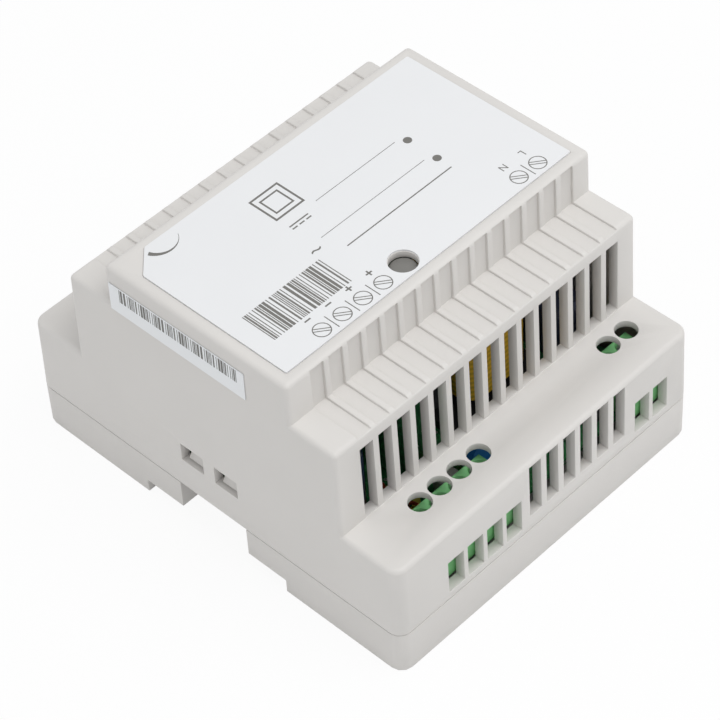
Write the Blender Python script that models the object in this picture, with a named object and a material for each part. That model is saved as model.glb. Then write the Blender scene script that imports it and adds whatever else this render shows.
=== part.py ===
"""DIN rail power supply: a stepped modular case on its back, front label up, with its working parts inside.

Metres, +Z out of the front face, X across the width, Y along the height. Terminals face -Y.
Z = 0 is the back of the feet, and the origin is the middle of the back.
"""

import math

import bmesh
import bpy
from mathutils import Matrix, Vector

# Case
CASE_WIDTH = 0.0780
CASE_HEIGHT = 0.0930
CASE_DEPTH = 0.0560
SEAM_Z = 0.0097
TERMINAL_SHELF_Z = 0.0265
UPPER_SHELF_Z = 0.0466
TERMINAL_SHELF_DEPTH = 0.1430 * CASE_HEIGHT
UPPER_SHELF_DEPTH = 0.1161 * CASE_HEIGHT
LOUVRE_HEIGHT = CASE_HEIGHT - 2 * TERMINAL_SHELF_DEPTH
NOSE_HEIGHT = LOUVRE_HEIGHT - 2 * UPPER_SHELF_DEPTH
SIDE_DRAFT = 0.011
END_DRAFT = 0.020
CORNER_RADIUS = 0.0026
EDGE_RADIUS = 0.0010
CORNER_STEPS = 3
EDGE_STEPS = 2
SIDE_WALL = 0.0020
END_WALL = 0.0021
ROOF = 0.0015
SEAM_GAP = 0.0003
GAP = 0.0003
CUT_PAST = 0.0010

# Louvres and ribs
LOUVRE_COUNT = 15
LOUVRE_SIDE_MARGIN = 0.0063
LOUVRE_RIB = 0.00132
LOUVRE_FIRST_X = LOUVRE_SIDE_MARGIN - CASE_WIDTH / 2
LOUVRE_PITCH = 0.8692 * CASE_WIDTH / LOUVRE_COUNT
LOUVRE_WIDTH = LOUVRE_PITCH - LOUVRE_RIB
LOUVRE_SILL = 0.0002
LOUVRE_TOP_MARGIN = 0.0030
RIB_RISE = 0.0008
RIB_TOP_MARGIN = 0.0011
RIB_EDGE_MARGIN = 0.0010
VENT_COUNT = 6
VENT_RIB = 0.00142
VENT_FROM_OUTPUT = 0.0037
VENT_FROM_INPUT = 0.0054
VENT_BOTTOM_Z = 0.0131
VENT_TOP_Z = 0.0256

# Terminals: the first pole of each block, and its windows and screw holes
POLE_PITCH = 0.0050
OUTPUT_FROM_SIDE = 0.0151
OUTPUT_FIRST_X = OUTPUT_FROM_SIDE - CASE_WIDTH / 2
OUTPUT_POLES = 4
INPUT_FROM_SIDE = 0.0131
INPUT_FIRST_X = CASE_WIDTH / 2 - INPUT_FROM_SIDE
INPUT_POLES = 2
POLE_FROM_END = 0.0088
SCREW_HOLE_DIAMETER = 0.0045
WINDOW_WIDTH = 0.0040
WINDOW_OFFSET_X = -0.0005
WINDOW_BOTTOM_Z = 0.0114
WINDOW_TOP_Z = 0.0190
TERMINAL_WALL_GAP = 0.00025
TERMINAL_HEIGHT = 0.0089
TERMINAL_REAR_FROM_END = 0.0120
TERMINAL_SKIRT = 0.0022
POLE_CAVITY_WIDTH = 0.0038
POLE_CAVITY_FLOOR = 0.0006
POLE_CAVITY_HEIGHT = 0.0056
POLE_REAR_WALL = 0.0012
POLE_FRONT_WALL = 0.0012
WIRE_ENTRY_WIDTH = 0.0030
WIRE_ENTRY_HEIGHT = 0.0036
SCREW_HEAD_DIAMETER = 0.0035
SCREW_HEAD_HEIGHT = 0.0011
SCREW_SHANK_DIAMETER = 0.0018
SCREW_SLOT_WIDTH = 0.0007
SCREW_SLOT_DEPTH = 0.0005
SCREW_WEB = 0.0007
CAGE_HEIGHT = 0.0039
CAGE_DEPTH = 0.0036
CAGE_WALL = 0.0005
CAGE_ROOF = 0.0009

# Base tray and rail
RAIL_WIDTH = 0.0350
RAIL_CLEARANCE = 0.0005
RAIL_SEAT_Z = 0.0030
RAIL_LIP = 0.0010
BASE_WALL = 0.0020
BASE_FLOOR = 0.0020
GROOVE_WIDTH = 0.0170
RAISED_FLOOR = 0.0016
HOOK_REACH = 0.0019
HOOK_WIDTH = 0.0260
BOSS_DIAMETER = 0.0050
PCB_SCREW_DIAMETER = 0.0020
PCB_SCREW_HEAD = 0.0040
PCB_SCREW_HEAD_HEIGHT = 0.0014
PCB_SCREW_LENGTH = 0.0060
PCB_SCREW_FROM_SIDE = 0.0080
PCB_SCREW_FROM_END = 0.0085
PCB_SCREW_FROM_INPUT = 0.0124
PCB_SCREW_FAR_X = 0.1538 * CASE_WIDTH

# Snap tabs and their windows, on both sides
SNAP_WINDOW_LENGTH = 0.0057
SNAP_WINDOW_PITCH = 0.0086
SNAP_WINDOW_BOTTOM_Z = 0.0168
SNAP_WINDOW_TOP_Z = 0.0210
SNAP_TAB_THICKNESS = 0.0015
SNAP_SIDE_GAP = 0.0009
SNAP_BARB_HEIGHT = 0.0024

# Latch
LATCH_WIDTH = 0.0160
LATCH_NECK_WIDTH = 0.0120
LATCH_FLANGE = 0.0018
LATCH_NECK = 0.0010
LATCH_BED = 0.0017
LATCH_CHEEK = 0.0027
LATCH_REACH = 0.0022
LATCH_SLOT_LENGTH = 0.0025
LATCH_SLOT_WIDTH = 0.0060
LATCH_SLOT_MARGIN = 0.0026

# Labels
LABEL_THICKNESS = 0.00015
LABEL_GLUE = 0.00005
LABEL_SIDE_MARGIN = 0.0031
LABEL_END_MARGIN = 0.00255
LABEL_LENGTH = CASE_WIDTH - 2 * LABEL_SIDE_MARGIN
LABEL_HEIGHT = NOSE_HEIGHT - 2 * LABEL_END_MARGIN
LABEL_CHAMFER = 0.0050
SIDE_LABEL_LENGTH = 0.7455 * NOSE_HEIGHT
SIDE_LABEL_HEIGHT = 0.0063
SIDE_LABEL_CENTRE_Y = 0.1038 * NOSE_HEIGHT
SIDE_LABEL_FROM_FRONT = 0.0098
LED_HOLE_DIAMETER = 0.0054
LED_FROM_NOSE_END = 0.0060
LED_XY = (-0.0500 * CASE_WIDTH, LED_FROM_NOSE_END - NOSE_HEIGHT / 2)
LED_RECESS = 0.0012
LED_LENGTH = 0.0056
LED_EDGE = 0.0004
LED_SPACER_BORE = 0.0030

# Boards
PCB_THICKNESS = 0.0016
PCB_SIDE_GAP = 0.0023
PCB_END_GAP = 0.0022
DAUGHTER_X = -0.1744 * CASE_WIDTH
DAUGHTER_WALL_GAP = 0.0010
DAUGHTER_NEAR_Y = END_WALL + DAUGHTER_WALL_GAP - LOUVRE_HEIGHT / 2
DAUGHTER_LENGTH = 0.2151 * CASE_HEIGHT
DAUGHTER_HEIGHT = 0.0285

# Voltage trimmer on the far shelf
TRIMMER_FROM_SIDE = 0.0107
TRIMMER_FROM_END = 0.0085
TRIMMER_XY = (TRIMMER_FROM_SIDE - CASE_WIDTH / 2, CASE_HEIGHT / 2 - TRIMMER_FROM_END)
TRIMMER_SIZE = 0.0090
TRIMMER_HEIGHT = 0.0048
ROTOR_DIAMETER = 0.0050
ROTOR_HEIGHT = 0.0018
TRIMMER_HOLE_DIAMETER = 0.0056

# Transformer: an upright bobbin inside a rectangular core
TRANSFORMER_XY = (0.1436 * CASE_WIDTH, -0.1452 * CASE_HEIGHT)
CORE_WIDTH = 0.3077 * CASE_WIDTH
CORE_HEIGHT = 0.0230
CORE_THICKNESS = 0.0090
CORE_LEG = 0.0036
WINDING_DEPTH = 0.2473 * CASE_HEIGHT
WINDING_CORNER = 0.0035
BOBBIN_BASE = 0.0018

# Heatsinks, their transistors and screws
PRIMARY_SINK_X = 0.3205 * CASE_WIDTH
PRIMARY_SINK_Y = (-0.1183 * CASE_HEIGHT, 0.1398 * CASE_HEIGHT)
SECONDARY_SINK_X = -0.2885 * CASE_WIDTH
SECONDARY_SINK_Y = (-0.0860 * CASE_HEIGHT, 0.2366 * CASE_HEIGHT)
SINK_THICKNESS = 0.0015
SINK_HEIGHT = 0.0270
SINK_FOOT = 0.0040
DEVICE_Y = 0.0710 * CASE_HEIGHT
DEVICE_WIDTH = 0.0100
DEVICE_HEIGHT = 0.0155
DEVICE_THICKNESS = 0.0044
DEVICE_TAB_THICKNESS = 0.0013
DEVICE_TAB_HEIGHT = 0.0064
DEVICE_LIFT = 0.0035
SINK_SCREW_DIAMETER = 0.0026
SINK_SCREW_HEAD = 0.0050
SINK_SCREW_HEAD_HEIGHT = 0.0018
SINK_SCREW_LENGTH = 0.0050

# Round capacitors: diameter, length and place
BULK_CAPACITOR = (min(0.2308 * CASE_WIDTH, 0.1935 * CASE_HEIGHT), 0.0290)
BULK_CAPACITOR_XY = (0.1538 * CASE_WIDTH, 0.2097 * CASE_HEIGHT)
OUTPUT_CAPACITOR = (0.1282 * CASE_WIDTH, 0.0205)
OUTPUT_CAPACITOR_X = -0.3910 * CASE_WIDTH
OUTPUT_CAPACITORS_FROM_TERMINAL = (0.0105, 0.0225)
CAPACITOR_ROLL = 0.0006
CAPACITOR_ROLL_HEIGHT = 0.0024

# Other parts on the board
MAINS_CAPACITOR = (0.1026 * CASE_WIDTH, 0.1344 * CASE_HEIGHT, 0.0120)
MAINS_CAPACITOR_XY = (0.3846 * CASE_WIDTH, -0.2151 * CASE_HEIGHT)
DISC_THICKNESS = 0.0036
SAFETY_DISC_DIAMETER = 0.0090
SAFETY_DISC_X = -0.0385 * CASE_WIDTH
SAFETY_DISC_FROM_TERMINAL = 0.0023
THERMISTOR_DIAMETER = 0.0090
THERMISTOR_X = 0.2756 * CASE_WIDTH
THERMISTOR_FROM_TERMINAL = 0.0040
DISC_LEG = 0.0012
CHOKE_XY = (0.3910 * CASE_WIDTH, 0.2312 * CASE_HEIGHT)
CHOKE_LENGTH = 0.1290 * CASE_HEIGHT
CHOKE_WIDTH = 0.1154 * CASE_WIDTH
CHOKE_LIMB = 0.0022
CHOKE_HEIGHT = 0.0130
CHOKE_COIL_LENGTH = 0.0387 * CASE_HEIGHT
INDUCTOR_X = -0.2615 * CASE_WIDTH
INDUCTOR_FROM_TERMINAL = 0.0062
INDUCTOR_RADIUS = 0.0462 * CASE_WIDTH
INDUCTOR_CORE_HALF = 0.0007
INDUCTOR_WIRE_RADIUS = 0.00035
INDUCTOR_TURNS = 9
INDUCTOR_POINTS_PER_TURN = 10
BRIDGE_FROM_END = 0.0075
BRIDGE_XY = (0.3397 * CASE_WIDTH, CASE_HEIGHT / 2 - BRIDGE_FROM_END)
BRIDGE = (0.1667 * CASE_WIDTH, 0.0036, 0.0095)
FUSE_FROM_INPUT = 0.0064
FUSE_FROM_END = 0.0080
FUSE_DIAMETER = 0.0641 * CASE_WIDTH
FUSE_LENGTH = 0.0080
OPTOCOUPLER_X = -0.1301 * CASE_WIDTH
OPTOCOUPLER_FROM_TERMINAL = 0.0036
OPTOCOUPLER = (0.0045, 0.0064, 0.0034)
CONTROLLER_XY = (-0.0449 * CASE_WIDTH, 0.0645 * CASE_HEIGHT)
CONTROLLER = (0.0040, 0.0050, 0.0016)
BLOCK_CHAMFER_SHARE = 0.1

# Derived places
FRONT_Z = CASE_DEPTH - LABEL_THICKNESS - LABEL_GLUE
RAIL_HALF = RAIL_WIDTH / 2 + RAIL_CLEARANCE
GROOVE_HALF = GROOVE_WIDTH / 2
GROOVE_TOP_Z = SEAM_Z
RAISED_FLOOR_Z = GROOVE_TOP_Z + RAISED_FLOOR
RAISED_HALF = GROOVE_HALF + BASE_WALL
PCB_BOTTOM_Z = RAISED_FLOOR_Z + GAP
PCB_TOP_Z = PCB_BOTTOM_Z + PCB_THICKNESS
SEAT_Z = PCB_TOP_Z + GAP
POLE_Y = POLE_FROM_END - CASE_HEIGHT / 2
TERMINAL_REAR_Y = TERMINAL_REAR_FROM_END - CASE_HEIGHT / 2
TERMINAL_TOP_Z = SEAT_Z + TERMINAL_HEIGHT
CAVITY_FLOOR_Z = SEAT_Z + POLE_CAVITY_FLOOR
CAVITY_TOP_Z = CAVITY_FLOOR_Z + POLE_CAVITY_HEIGHT
HEAD_SEAT_Z = CAVITY_TOP_Z + SCREW_WEB
OUTPUT_POLE_XS = [OUTPUT_FIRST_X + i * POLE_PITCH for i in range(OUTPUT_POLES)]
INPUT_POLE_XS = [INPUT_FIRST_X + i * POLE_PITCH for i in range(INPUT_POLES)]
POLE_XS = OUTPUT_POLE_XS + INPUT_POLE_XS
VENT_FIRST_X = OUTPUT_POLE_XS[-1] + VENT_FROM_OUTPUT
VENT_PITCH = (INPUT_FIRST_X - VENT_FROM_INPUT - VENT_FIRST_X + VENT_RIB) / VENT_COUNT
VENT_WIDTH = VENT_PITCH - VENT_RIB
PCB_SCREW_NEAR_Y = PCB_SCREW_FROM_END - CASE_HEIGHT / 2
PCB_SCREW_PLACES = ((PCB_SCREW_FROM_SIDE - CASE_WIDTH / 2, PCB_SCREW_NEAR_Y),
                    (INPUT_FIRST_X - PCB_SCREW_FROM_INPUT, PCB_SCREW_NEAR_Y),
                    (-PCB_SCREW_FAR_X, -PCB_SCREW_NEAR_Y), (PCB_SCREW_FAR_X, -PCB_SCREW_NEAR_Y))
OUTPUT_CAPACITOR_PLACES = [(OUTPUT_CAPACITOR_X, TERMINAL_REAR_Y + apart)
                           for apart in OUTPUT_CAPACITORS_FROM_TERMINAL]
SAFETY_DISC_XY = (SAFETY_DISC_X, TERMINAL_REAR_Y + SAFETY_DISC_FROM_TERMINAL)
THERMISTOR_XY = (THERMISTOR_X, TERMINAL_REAR_Y + THERMISTOR_FROM_TERMINAL)
INDUCTOR_XY = (INDUCTOR_X, TERMINAL_REAR_Y + INDUCTOR_FROM_TERMINAL)
OPTOCOUPLER_XY = (OPTOCOUPLER_X, TERMINAL_REAR_Y + OPTOCOUPLER_FROM_TERMINAL)
FUSE_XY = (INPUT_FIRST_X - FUSE_FROM_INPUT, FUSE_FROM_END - CASE_HEIGHT / 2)
LATCH_BOTTOM_Z = GAP
LATCH_SHOULDER_Z = LATCH_BOTTOM_Z + LATCH_NECK
LATCH_TOP_Z = LATCH_SHOULDER_Z + LATCH_FLANGE

PLASTIC_GREY = (0.62, 0.60, 0.57)
STEEL = (0.55, 0.55, 0.56)
TERMINAL_GREEN = (0.10, 0.36, 0.13)
BOARD_GREEN = (0.04, 0.20, 0.08)
FERRITE = (0.05, 0.05, 0.055)
EPOXY_BLACK = (0.02, 0.02, 0.022)
COPPER_RED = (0.45, 0.10, 0.05)
ROUND_STEPS = 24


def side_x(z):
    """Half width of the cover at a height, with its moulding draft."""
    return CASE_WIDTH / 2 - SIDE_DRAFT * (z - SEAM_Z)


def lower_y(z):
    return CASE_HEIGHT / 2 - END_DRAFT * (z - SEAM_Z)


def louvre_y(z):
    return LOUVRE_HEIGHT / 2 - END_DRAFT * (z - TERMINAL_SHELF_Z)


def nose_y(z):
    return NOSE_HEIGHT / 2 - END_DRAFT * (z - UPPER_SHELF_Z)


def board_end_y():
    """Half length of the main board, which stops short of the cover's end walls."""
    return lower_y(PCB_TOP_Z) - END_WALL - PCB_END_GAP


def clear_scene():
    for old in list(bpy.data.objects):
        bpy.data.objects.remove(old, do_unlink=True)


def add_box(bm, x, y, z):
    """A box from three (low, high) pairs."""
    size = Vector((x[1] - x[0], y[1] - y[0], z[1] - z[0]))
    middle = Vector((x[0] + x[1], y[0] + y[1], z[0] + z[1])) / 2
    bmesh.ops.create_cube(bm, size=1, matrix=Matrix.Translation(middle) @ Matrix.Diagonal((*size, 1)))


def add_prism(bm, outline, axis, low, high):
    """A flat outline extruded along an axis. The outline is in the two other axes, in order."""
    def point(pair, along):
        values = list(pair)
        values.insert("XYZ".index(axis), along)
        return values
    first = [bm.verts.new(point(pair, low)) for pair in outline]
    last = [bm.verts.new(point(pair, high)) for pair in outline]
    bm.faces.new(first)
    bm.faces.new(last)
    for i in range(len(outline)):
        j = (i + 1) % len(outline)
        bm.faces.new((first[i], first[j], last[j], last[i]))


def add_turned(bm, profile, place, axis="Z", steps=ROUND_STEPS):
    """A profile of (radius, height) pairs turned about an axis through a place, with flat ends."""
    turn = {"X": Matrix.Rotation(math.pi / 2, 4, "Y"), "Y": Matrix.Rotation(-math.pi / 2, 4, "X"),
            "Z": Matrix()}
    matrix = Matrix.Translation(place) @ turn[axis]
    rings = []
    for radius, height in profile:
        angles = [2 * math.pi * i / steps for i in range(steps)]
        rings.append([bm.verts.new(matrix @ Vector((radius * math.cos(a), radius * math.sin(a), height)))
                      for a in angles])
    for low, high in zip(rings, rings[1:]):
        for i in range(steps):
            j = (i + 1) % steps
            bm.faces.new((low[i], low[j], high[j], high[i]))
    bm.faces.new(rings[0])
    bm.faces.new(rings[-1])


def add_rod(bm, place, diameter, low, high, axis="Z", steps=ROUND_STEPS):
    add_turned(bm, [(diameter / 2, low), (diameter / 2, high)], place, axis, steps)


def rounded_outline(width, height, radius, steps=4):
    """A rectangle about the origin with round corners."""
    points = []
    for quarter in range(4):
        middle_x = (width / 2 - radius) * (1 if quarter in (0, 3) else -1)
        middle_y = (height / 2 - radius) * (1 if quarter in (0, 1) else -1)
        for i in range(steps + 1):
            angle = math.pi / 2 * (quarter + i / steps)
            points.append((middle_x + radius * math.cos(angle), middle_y + radius * math.sin(angle)))
    return points


def shifted(outline, place):
    return [(x + place[0], y + place[1]) for x, y in outline]


def make_object(name, bm, origin=(0, 0, 0)):
    bmesh.ops.recalc_face_normals(bm, faces=bm.faces)
    bmesh.ops.translate(bm, verts=bm.verts, vec=-Vector(origin))
    mesh = bpy.data.meshes.new(name)
    bm.to_mesh(mesh)
    bm.free()
    made = bpy.data.objects.new(name, mesh)
    made.location = origin
    bpy.context.collection.objects.link(made)
    return made


def finish(name, colour, roughness, metallic):
    material = bpy.data.materials.new(name)
    material.use_nodes = True
    shader = material.node_tree.nodes["Principled BSDF"]
    shader.inputs["Base Color"].default_value = (*colour, 1)
    shader.inputs["Roughness"].default_value = roughness
    shader.inputs["Metallic"].default_value = metallic
    return material


def solid(name, bm, colour, roughness=0.5, metallic=0.0, origin=(0, 0, 0)):
    """One sub-part with its own material. Its origin is its joint's axis where it moves."""
    made = make_object(name, bm, origin)
    made.data.shade_smooth()
    made.data.set_sharp_from_angle(angle=math.radians(35))
    made.data.materials.append(finish(name, colour, roughness, metallic))
    return made


def combine(target, name, bm, operation):
    """A hidden helper that a Boolean cuts from the target or joins to it."""
    helper = make_object(f"{target.name}_{name}", bm)
    helper.hide_render = True
    helper.display_type = "WIRE"
    modifier = target.modifiers.new(name, "BOOLEAN")
    modifier.operation = operation
    modifier.solver = "EXACT"
    modifier.object = helper


def cut(target, name, bm):
    combine(target, name, bm, "DIFFERENCE")


def join(target, name, bm):
    combine(target, name, bm, "UNION")


def case_outline(inset, drop, bottom):
    """The stepped side outline of the cover as (y, z), drawn in by a wall and lowered by a roof."""
    shelf, step, front = TERMINAL_SHELF_Z - drop, UPPER_SHELF_Z - drop, FRONT_Z - drop
    half = [
        (lower_y(bottom) - inset, bottom),
        (lower_y(shelf) - inset, shelf),
        (louvre_y(shelf) - inset, shelf),
        (louvre_y(step) - inset, step),
        (nose_y(step) - inset, step),
        (nose_y(front) - inset, front),
    ]
    return half + [(-y, z) for y, z in reversed(half)]


def add_case(bm, outline, side_inset):
    """The stepped outline pulled across the width, narrowing towards the front."""
    sides = []
    for sign in (-1, 1):
        sides.append([bm.verts.new((sign * (side_x(z) - side_inset), y, z)) for y, z in outline])
    for ring in sides:
        bm.faces.new(ring)
    for i in range(len(outline)):
        j = (i + 1) % len(outline)
        bm.faces.new((sides[0][i], sides[0][j], sides[1][j], sides[1][i]))
    bmesh.ops.recalc_face_normals(bm, faces=bm.faces)


def bevel(bm, edges, radius, segments):
    bmesh.ops.bevel(bm, geom=edges, offset=radius, offset_type="OFFSET", segments=segments, profile=0.5,
                    affect="EDGES", clamp_overlap=True)


def upright_corners(bm, least_y):
    """The upright edges at the four outer corners."""
    return [edge for edge in bm.edges
            if all(abs(v.co.y) > least_y and abs(v.co.x) > CASE_WIDTH / 4 for v in edge.verts)
            and abs(edge.verts[0].co.z - edge.verts[1].co.z) > EDGE_RADIUS]


def convex_edges(bm, above_z):
    sharp = math.radians(50)
    return [edge for edge in bm.edges
            if len(edge.link_faces) == 2 and edge.calc_face_angle_signed(0) > sharp
            and max(v.co.z for v in edge.verts) > above_z]


def slot_xs(count, first_x, width, pitch):
    return [(first_x + i * pitch, first_x + i * pitch + width) for i in range(count)]


def both_ends(y_pairs):
    """The same span on the near and on the far end."""
    low, high = y_pairs
    return ((-high, -low), (low, high))


def top_cover():
    bottom = SEAM_Z + SEAM_GAP / 2
    bm = bmesh.new()
    add_case(bm, case_outline(0, 0, bottom), 0)
    bevel(bm, upright_corners(bm, LOUVRE_HEIGHT / 2 + EDGE_RADIUS), CORNER_RADIUS, CORNER_STEPS)
    bevel(bm, convex_edges(bm, bottom + EDGE_RADIUS), EDGE_RADIUS, EDGE_STEPS)
    cover = solid("top_cover", bm, PLASTIC_GREY, 0.45)

    bm = bmesh.new()
    add_case(bm, case_outline(END_WALL, ROOF, bottom - CUT_PAST), SIDE_WALL)
    cut(cover, "inside", bm)

    bm = bmesh.new()
    louvres = (louvre_y(UPPER_SHELF_Z) - END_WALL - CUT_PAST, louvre_y(TERMINAL_SHELF_Z) + CUT_PAST)
    tall = (TERMINAL_SHELF_Z + LOUVRE_SILL, UPPER_SHELF_Z - LOUVRE_TOP_MARGIN)
    vents = (lower_y(TERMINAL_SHELF_Z) - END_WALL - CUT_PAST, CASE_HEIGHT / 2 + CUT_PAST)
    for y in both_ends(louvres):
        for x in slot_xs(LOUVRE_COUNT, LOUVRE_FIRST_X, LOUVRE_WIDTH, LOUVRE_PITCH):
            add_box(bm, x, y, tall)
    for y in both_ends(vents):
        for x in slot_xs(VENT_COUNT, VENT_FIRST_X, VENT_WIDTH, VENT_PITCH):
            add_box(bm, x, y, (VENT_BOTTOM_Z, VENT_TOP_Z))
    for pole_x in POLE_XS:
        left = pole_x + WINDOW_OFFSET_X - WINDOW_WIDTH / 2
        add_box(bm, (left, left + WINDOW_WIDTH), both_ends(vents)[0], (WINDOW_BOTTOM_Z, WINDOW_TOP_Z))
    cut(cover, "slots", bm)

    bm = bmesh.new()
    top = FRONT_Z - RIB_TOP_MARGIN
    panel = [
        (louvre_y(UPPER_SHELF_Z) - RIB_EDGE_MARGIN, UPPER_SHELF_Z - RIB_RISE),
        (nose_y(UPPER_SHELF_Z) - RIB_RISE, UPPER_SHELF_Z - RIB_RISE),
        (nose_y(top) - RIB_RISE, top),
        (louvre_y(UPPER_SHELF_Z) - RIB_EDGE_MARGIN, top),
    ]
    for x in slot_xs(LOUVRE_COUNT, LOUVRE_FIRST_X, LOUVRE_WIDTH, LOUVRE_PITCH):
        add_prism(bm, panel, "X", *x)
        add_prism(bm, [(-y, z) for y, z in panel], "X", *x)
    cut(cover, "panels", bm)

    bm = bmesh.new()
    reach = (side_x(SNAP_WINDOW_TOP_Z) - SIDE_WALL - CUT_PAST, CASE_WIDTH / 2 + CUT_PAST)
    for x in both_ends(reach):
        for middle in (-SNAP_WINDOW_PITCH / 2, SNAP_WINDOW_PITCH / 2):
            y = (middle - SNAP_WINDOW_LENGTH / 2, middle + SNAP_WINDOW_LENGTH / 2)
            add_box(bm, x, y, (SNAP_WINDOW_BOTTOM_Z, SNAP_WINDOW_TOP_Z))
    shelf = (TERMINAL_SHELF_Z - ROOF - CUT_PAST, TERMINAL_SHELF_Z + CUT_PAST)
    for pole_x in POLE_XS:
        add_rod(bm, (pole_x, POLE_Y, 0), SCREW_HOLE_DIAMETER, *shelf)
    add_rod(bm, (*TRIMMER_XY, 0), TRIMMER_HOLE_DIAMETER, *shelf)
    add_rod(bm, (*LED_XY, 0), LED_HOLE_DIAMETER, FRONT_Z - ROOF - CUT_PAST, FRONT_Z + CUT_PAST)
    cut(cover, "holes", bm)


def base_outline(rim):
    """The base's side outline as (y, z): two feet with the rail channel between them."""
    half = [(RAIL_HALF, RAIL_SEAT_Z), (RAIL_HALF, 0), (CASE_HEIGHT / 2, 0), (CASE_HEIGHT / 2, rim)]
    return half + [(-y, z) for y, z in reversed(half)]


def base_tray():
    rim = SEAM_Z - SEAM_GAP / 2
    inner_x = side_x(SNAP_WINDOW_TOP_Z) - SIDE_WALL - GAP
    bm = bmesh.new()
    add_prism(bm, base_outline(rim), "X", -CASE_WIDTH / 2, CASE_WIDTH / 2)
    bmesh.ops.recalc_face_normals(bm, faces=bm.faces)
    bevel(bm, upright_corners(bm, CASE_HEIGHT / 2 - EDGE_RADIUS), CORNER_RADIUS, CORNER_STEPS)
    base = solid("base_tray", bm, PLASTIC_GREY, 0.45)

    bm = bmesh.new()
    pocket_x = CASE_WIDTH / 2 - BASE_WALL
    pocket_y = CASE_HEIGHT / 2 - BASE_WALL
    channel_wall = RAIL_HALF + BASE_WALL
    half = [(channel_wall, RAIL_SEAT_Z + BASE_FLOOR), (channel_wall, BASE_FLOOR), (pocket_y, BASE_FLOOR),
            (pocket_y, rim + CUT_PAST)]
    add_prism(bm, half + [(-y, z) for y, z in reversed(half)], "X", -pocket_x, pocket_x)
    cut(base, "pocket", bm)

    bm = bmesh.new()
    tunnel_x = CASE_WIDTH / 2 - BASE_WALL / 2
    add_box(bm, (-tunnel_x, tunnel_x), (-RAISED_HALF, RAISED_HALF),
            (RAIL_SEAT_Z + BASE_FLOOR / 2, SEAM_Z - SEAM_GAP))
    join(base, "tunnel", bm)
    bm = bmesh.new()
    floor_x, floor_y = inner_x - GAP, RAISED_HALF - GAP
    add_box(bm, (-floor_x, floor_x), (-floor_y, floor_y), (SEAM_Z - BASE_WALL, RAISED_FLOOR_Z))
    join(base, "raised_floor", bm)
    bm = bmesh.new()
    groove_x = CASE_WIDTH / 2 + CUT_PAST
    add_box(bm, (-groove_x, groove_x), (-GROOVE_HALF, GROOVE_HALF), (-CUT_PAST, GROOVE_TOP_Z))
    cut(base, "groove", bm)

    bm = bmesh.new()
    for x, y in PCB_SCREW_PLACES:
        add_rod(bm, (x, y, 0), BOSS_DIAMETER, BASE_FLOOR / 2, RAISED_FLOOR_Z)
    join(base, "bosses", bm)

    bm = bmesh.new()
    half = SNAP_WINDOW_LENGTH / 2 - SNAP_SIDE_GAP
    barb_x = side_x(SNAP_WINDOW_BOTTOM_Z) - SIDE_WALL / 2
    barb_z = SNAP_WINDOW_BOTTOM_Z + GAP
    tab = [
        (inner_x - SNAP_TAB_THICKNESS, GROOVE_TOP_Z + RAISED_FLOOR / 2),
        (inner_x, GROOVE_TOP_Z + RAISED_FLOOR / 2),
        (inner_x, barb_z),
        (barb_x, barb_z),
        (inner_x, barb_z + SNAP_BARB_HEIGHT),
        (inner_x, SNAP_WINDOW_TOP_Z),
        (inner_x - SNAP_TAB_THICKNESS, SNAP_WINDOW_TOP_Z),
    ]
    for sign in (-1, 1):
        for middle in (-SNAP_WINDOW_PITCH / 2, SNAP_WINDOW_PITCH / 2):
            add_prism(bm, [(sign * x, z) for x, z in tab], "Y", middle - half, middle + half)
    join(base, "snap_tabs", bm)

    bm = bmesh.new()
    hook_y = (-RAIL_HALF - BASE_WALL / 2, -RAIL_HALF + HOOK_REACH)
    hook_top = RAIL_SEAT_Z - RAIL_LIP - RAIL_CLEARANCE
    add_box(bm, (-HOOK_WIDTH / 2, HOOK_WIDTH / 2), hook_y, (0, hook_top))
    join(base, "fixed_hook", bm)

    bm = bmesh.new()
    bed_x = LATCH_WIDTH / 2 + GAP + LATCH_CHEEK
    bed_top = LATCH_TOP_Z + GAP + LATCH_BED
    add_box(bm, (-bed_x, bed_x), (RAIL_HALF, CASE_HEIGHT / 2 - BASE_WALL / 2), (0, bed_top))
    join(base, "latch_bed", bm)

    bm = bmesh.new()
    wide, narrow = LATCH_WIDTH / 2 + GAP, LATCH_NECK_WIDTH / 2 + GAP
    shoulder = LATCH_SHOULDER_Z - GAP
    track = [
        (-narrow, -CUT_PAST), (narrow, -CUT_PAST), (narrow, shoulder), (wide, shoulder),
        (wide, LATCH_TOP_Z + GAP), (-wide, LATCH_TOP_Z + GAP), (-wide, shoulder), (-narrow, shoulder),
    ]
    add_prism(bm, track, "Y", RAIL_HALF - CUT_PAST, CASE_HEIGHT / 2 + CUT_PAST)
    cut(base, "latch_track", bm)

    bm = bmesh.new()
    hole = PCB_SCREW_DIAMETER + 2 * GAP
    for x, y in PCB_SCREW_PLACES:
        add_rod(bm, (x, y, 0), hole, RAISED_FLOOR_Z - PCB_SCREW_LENGTH, RAISED_FLOOR_Z + CUT_PAST)
    cut(base, "screw_holes", bm)


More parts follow.
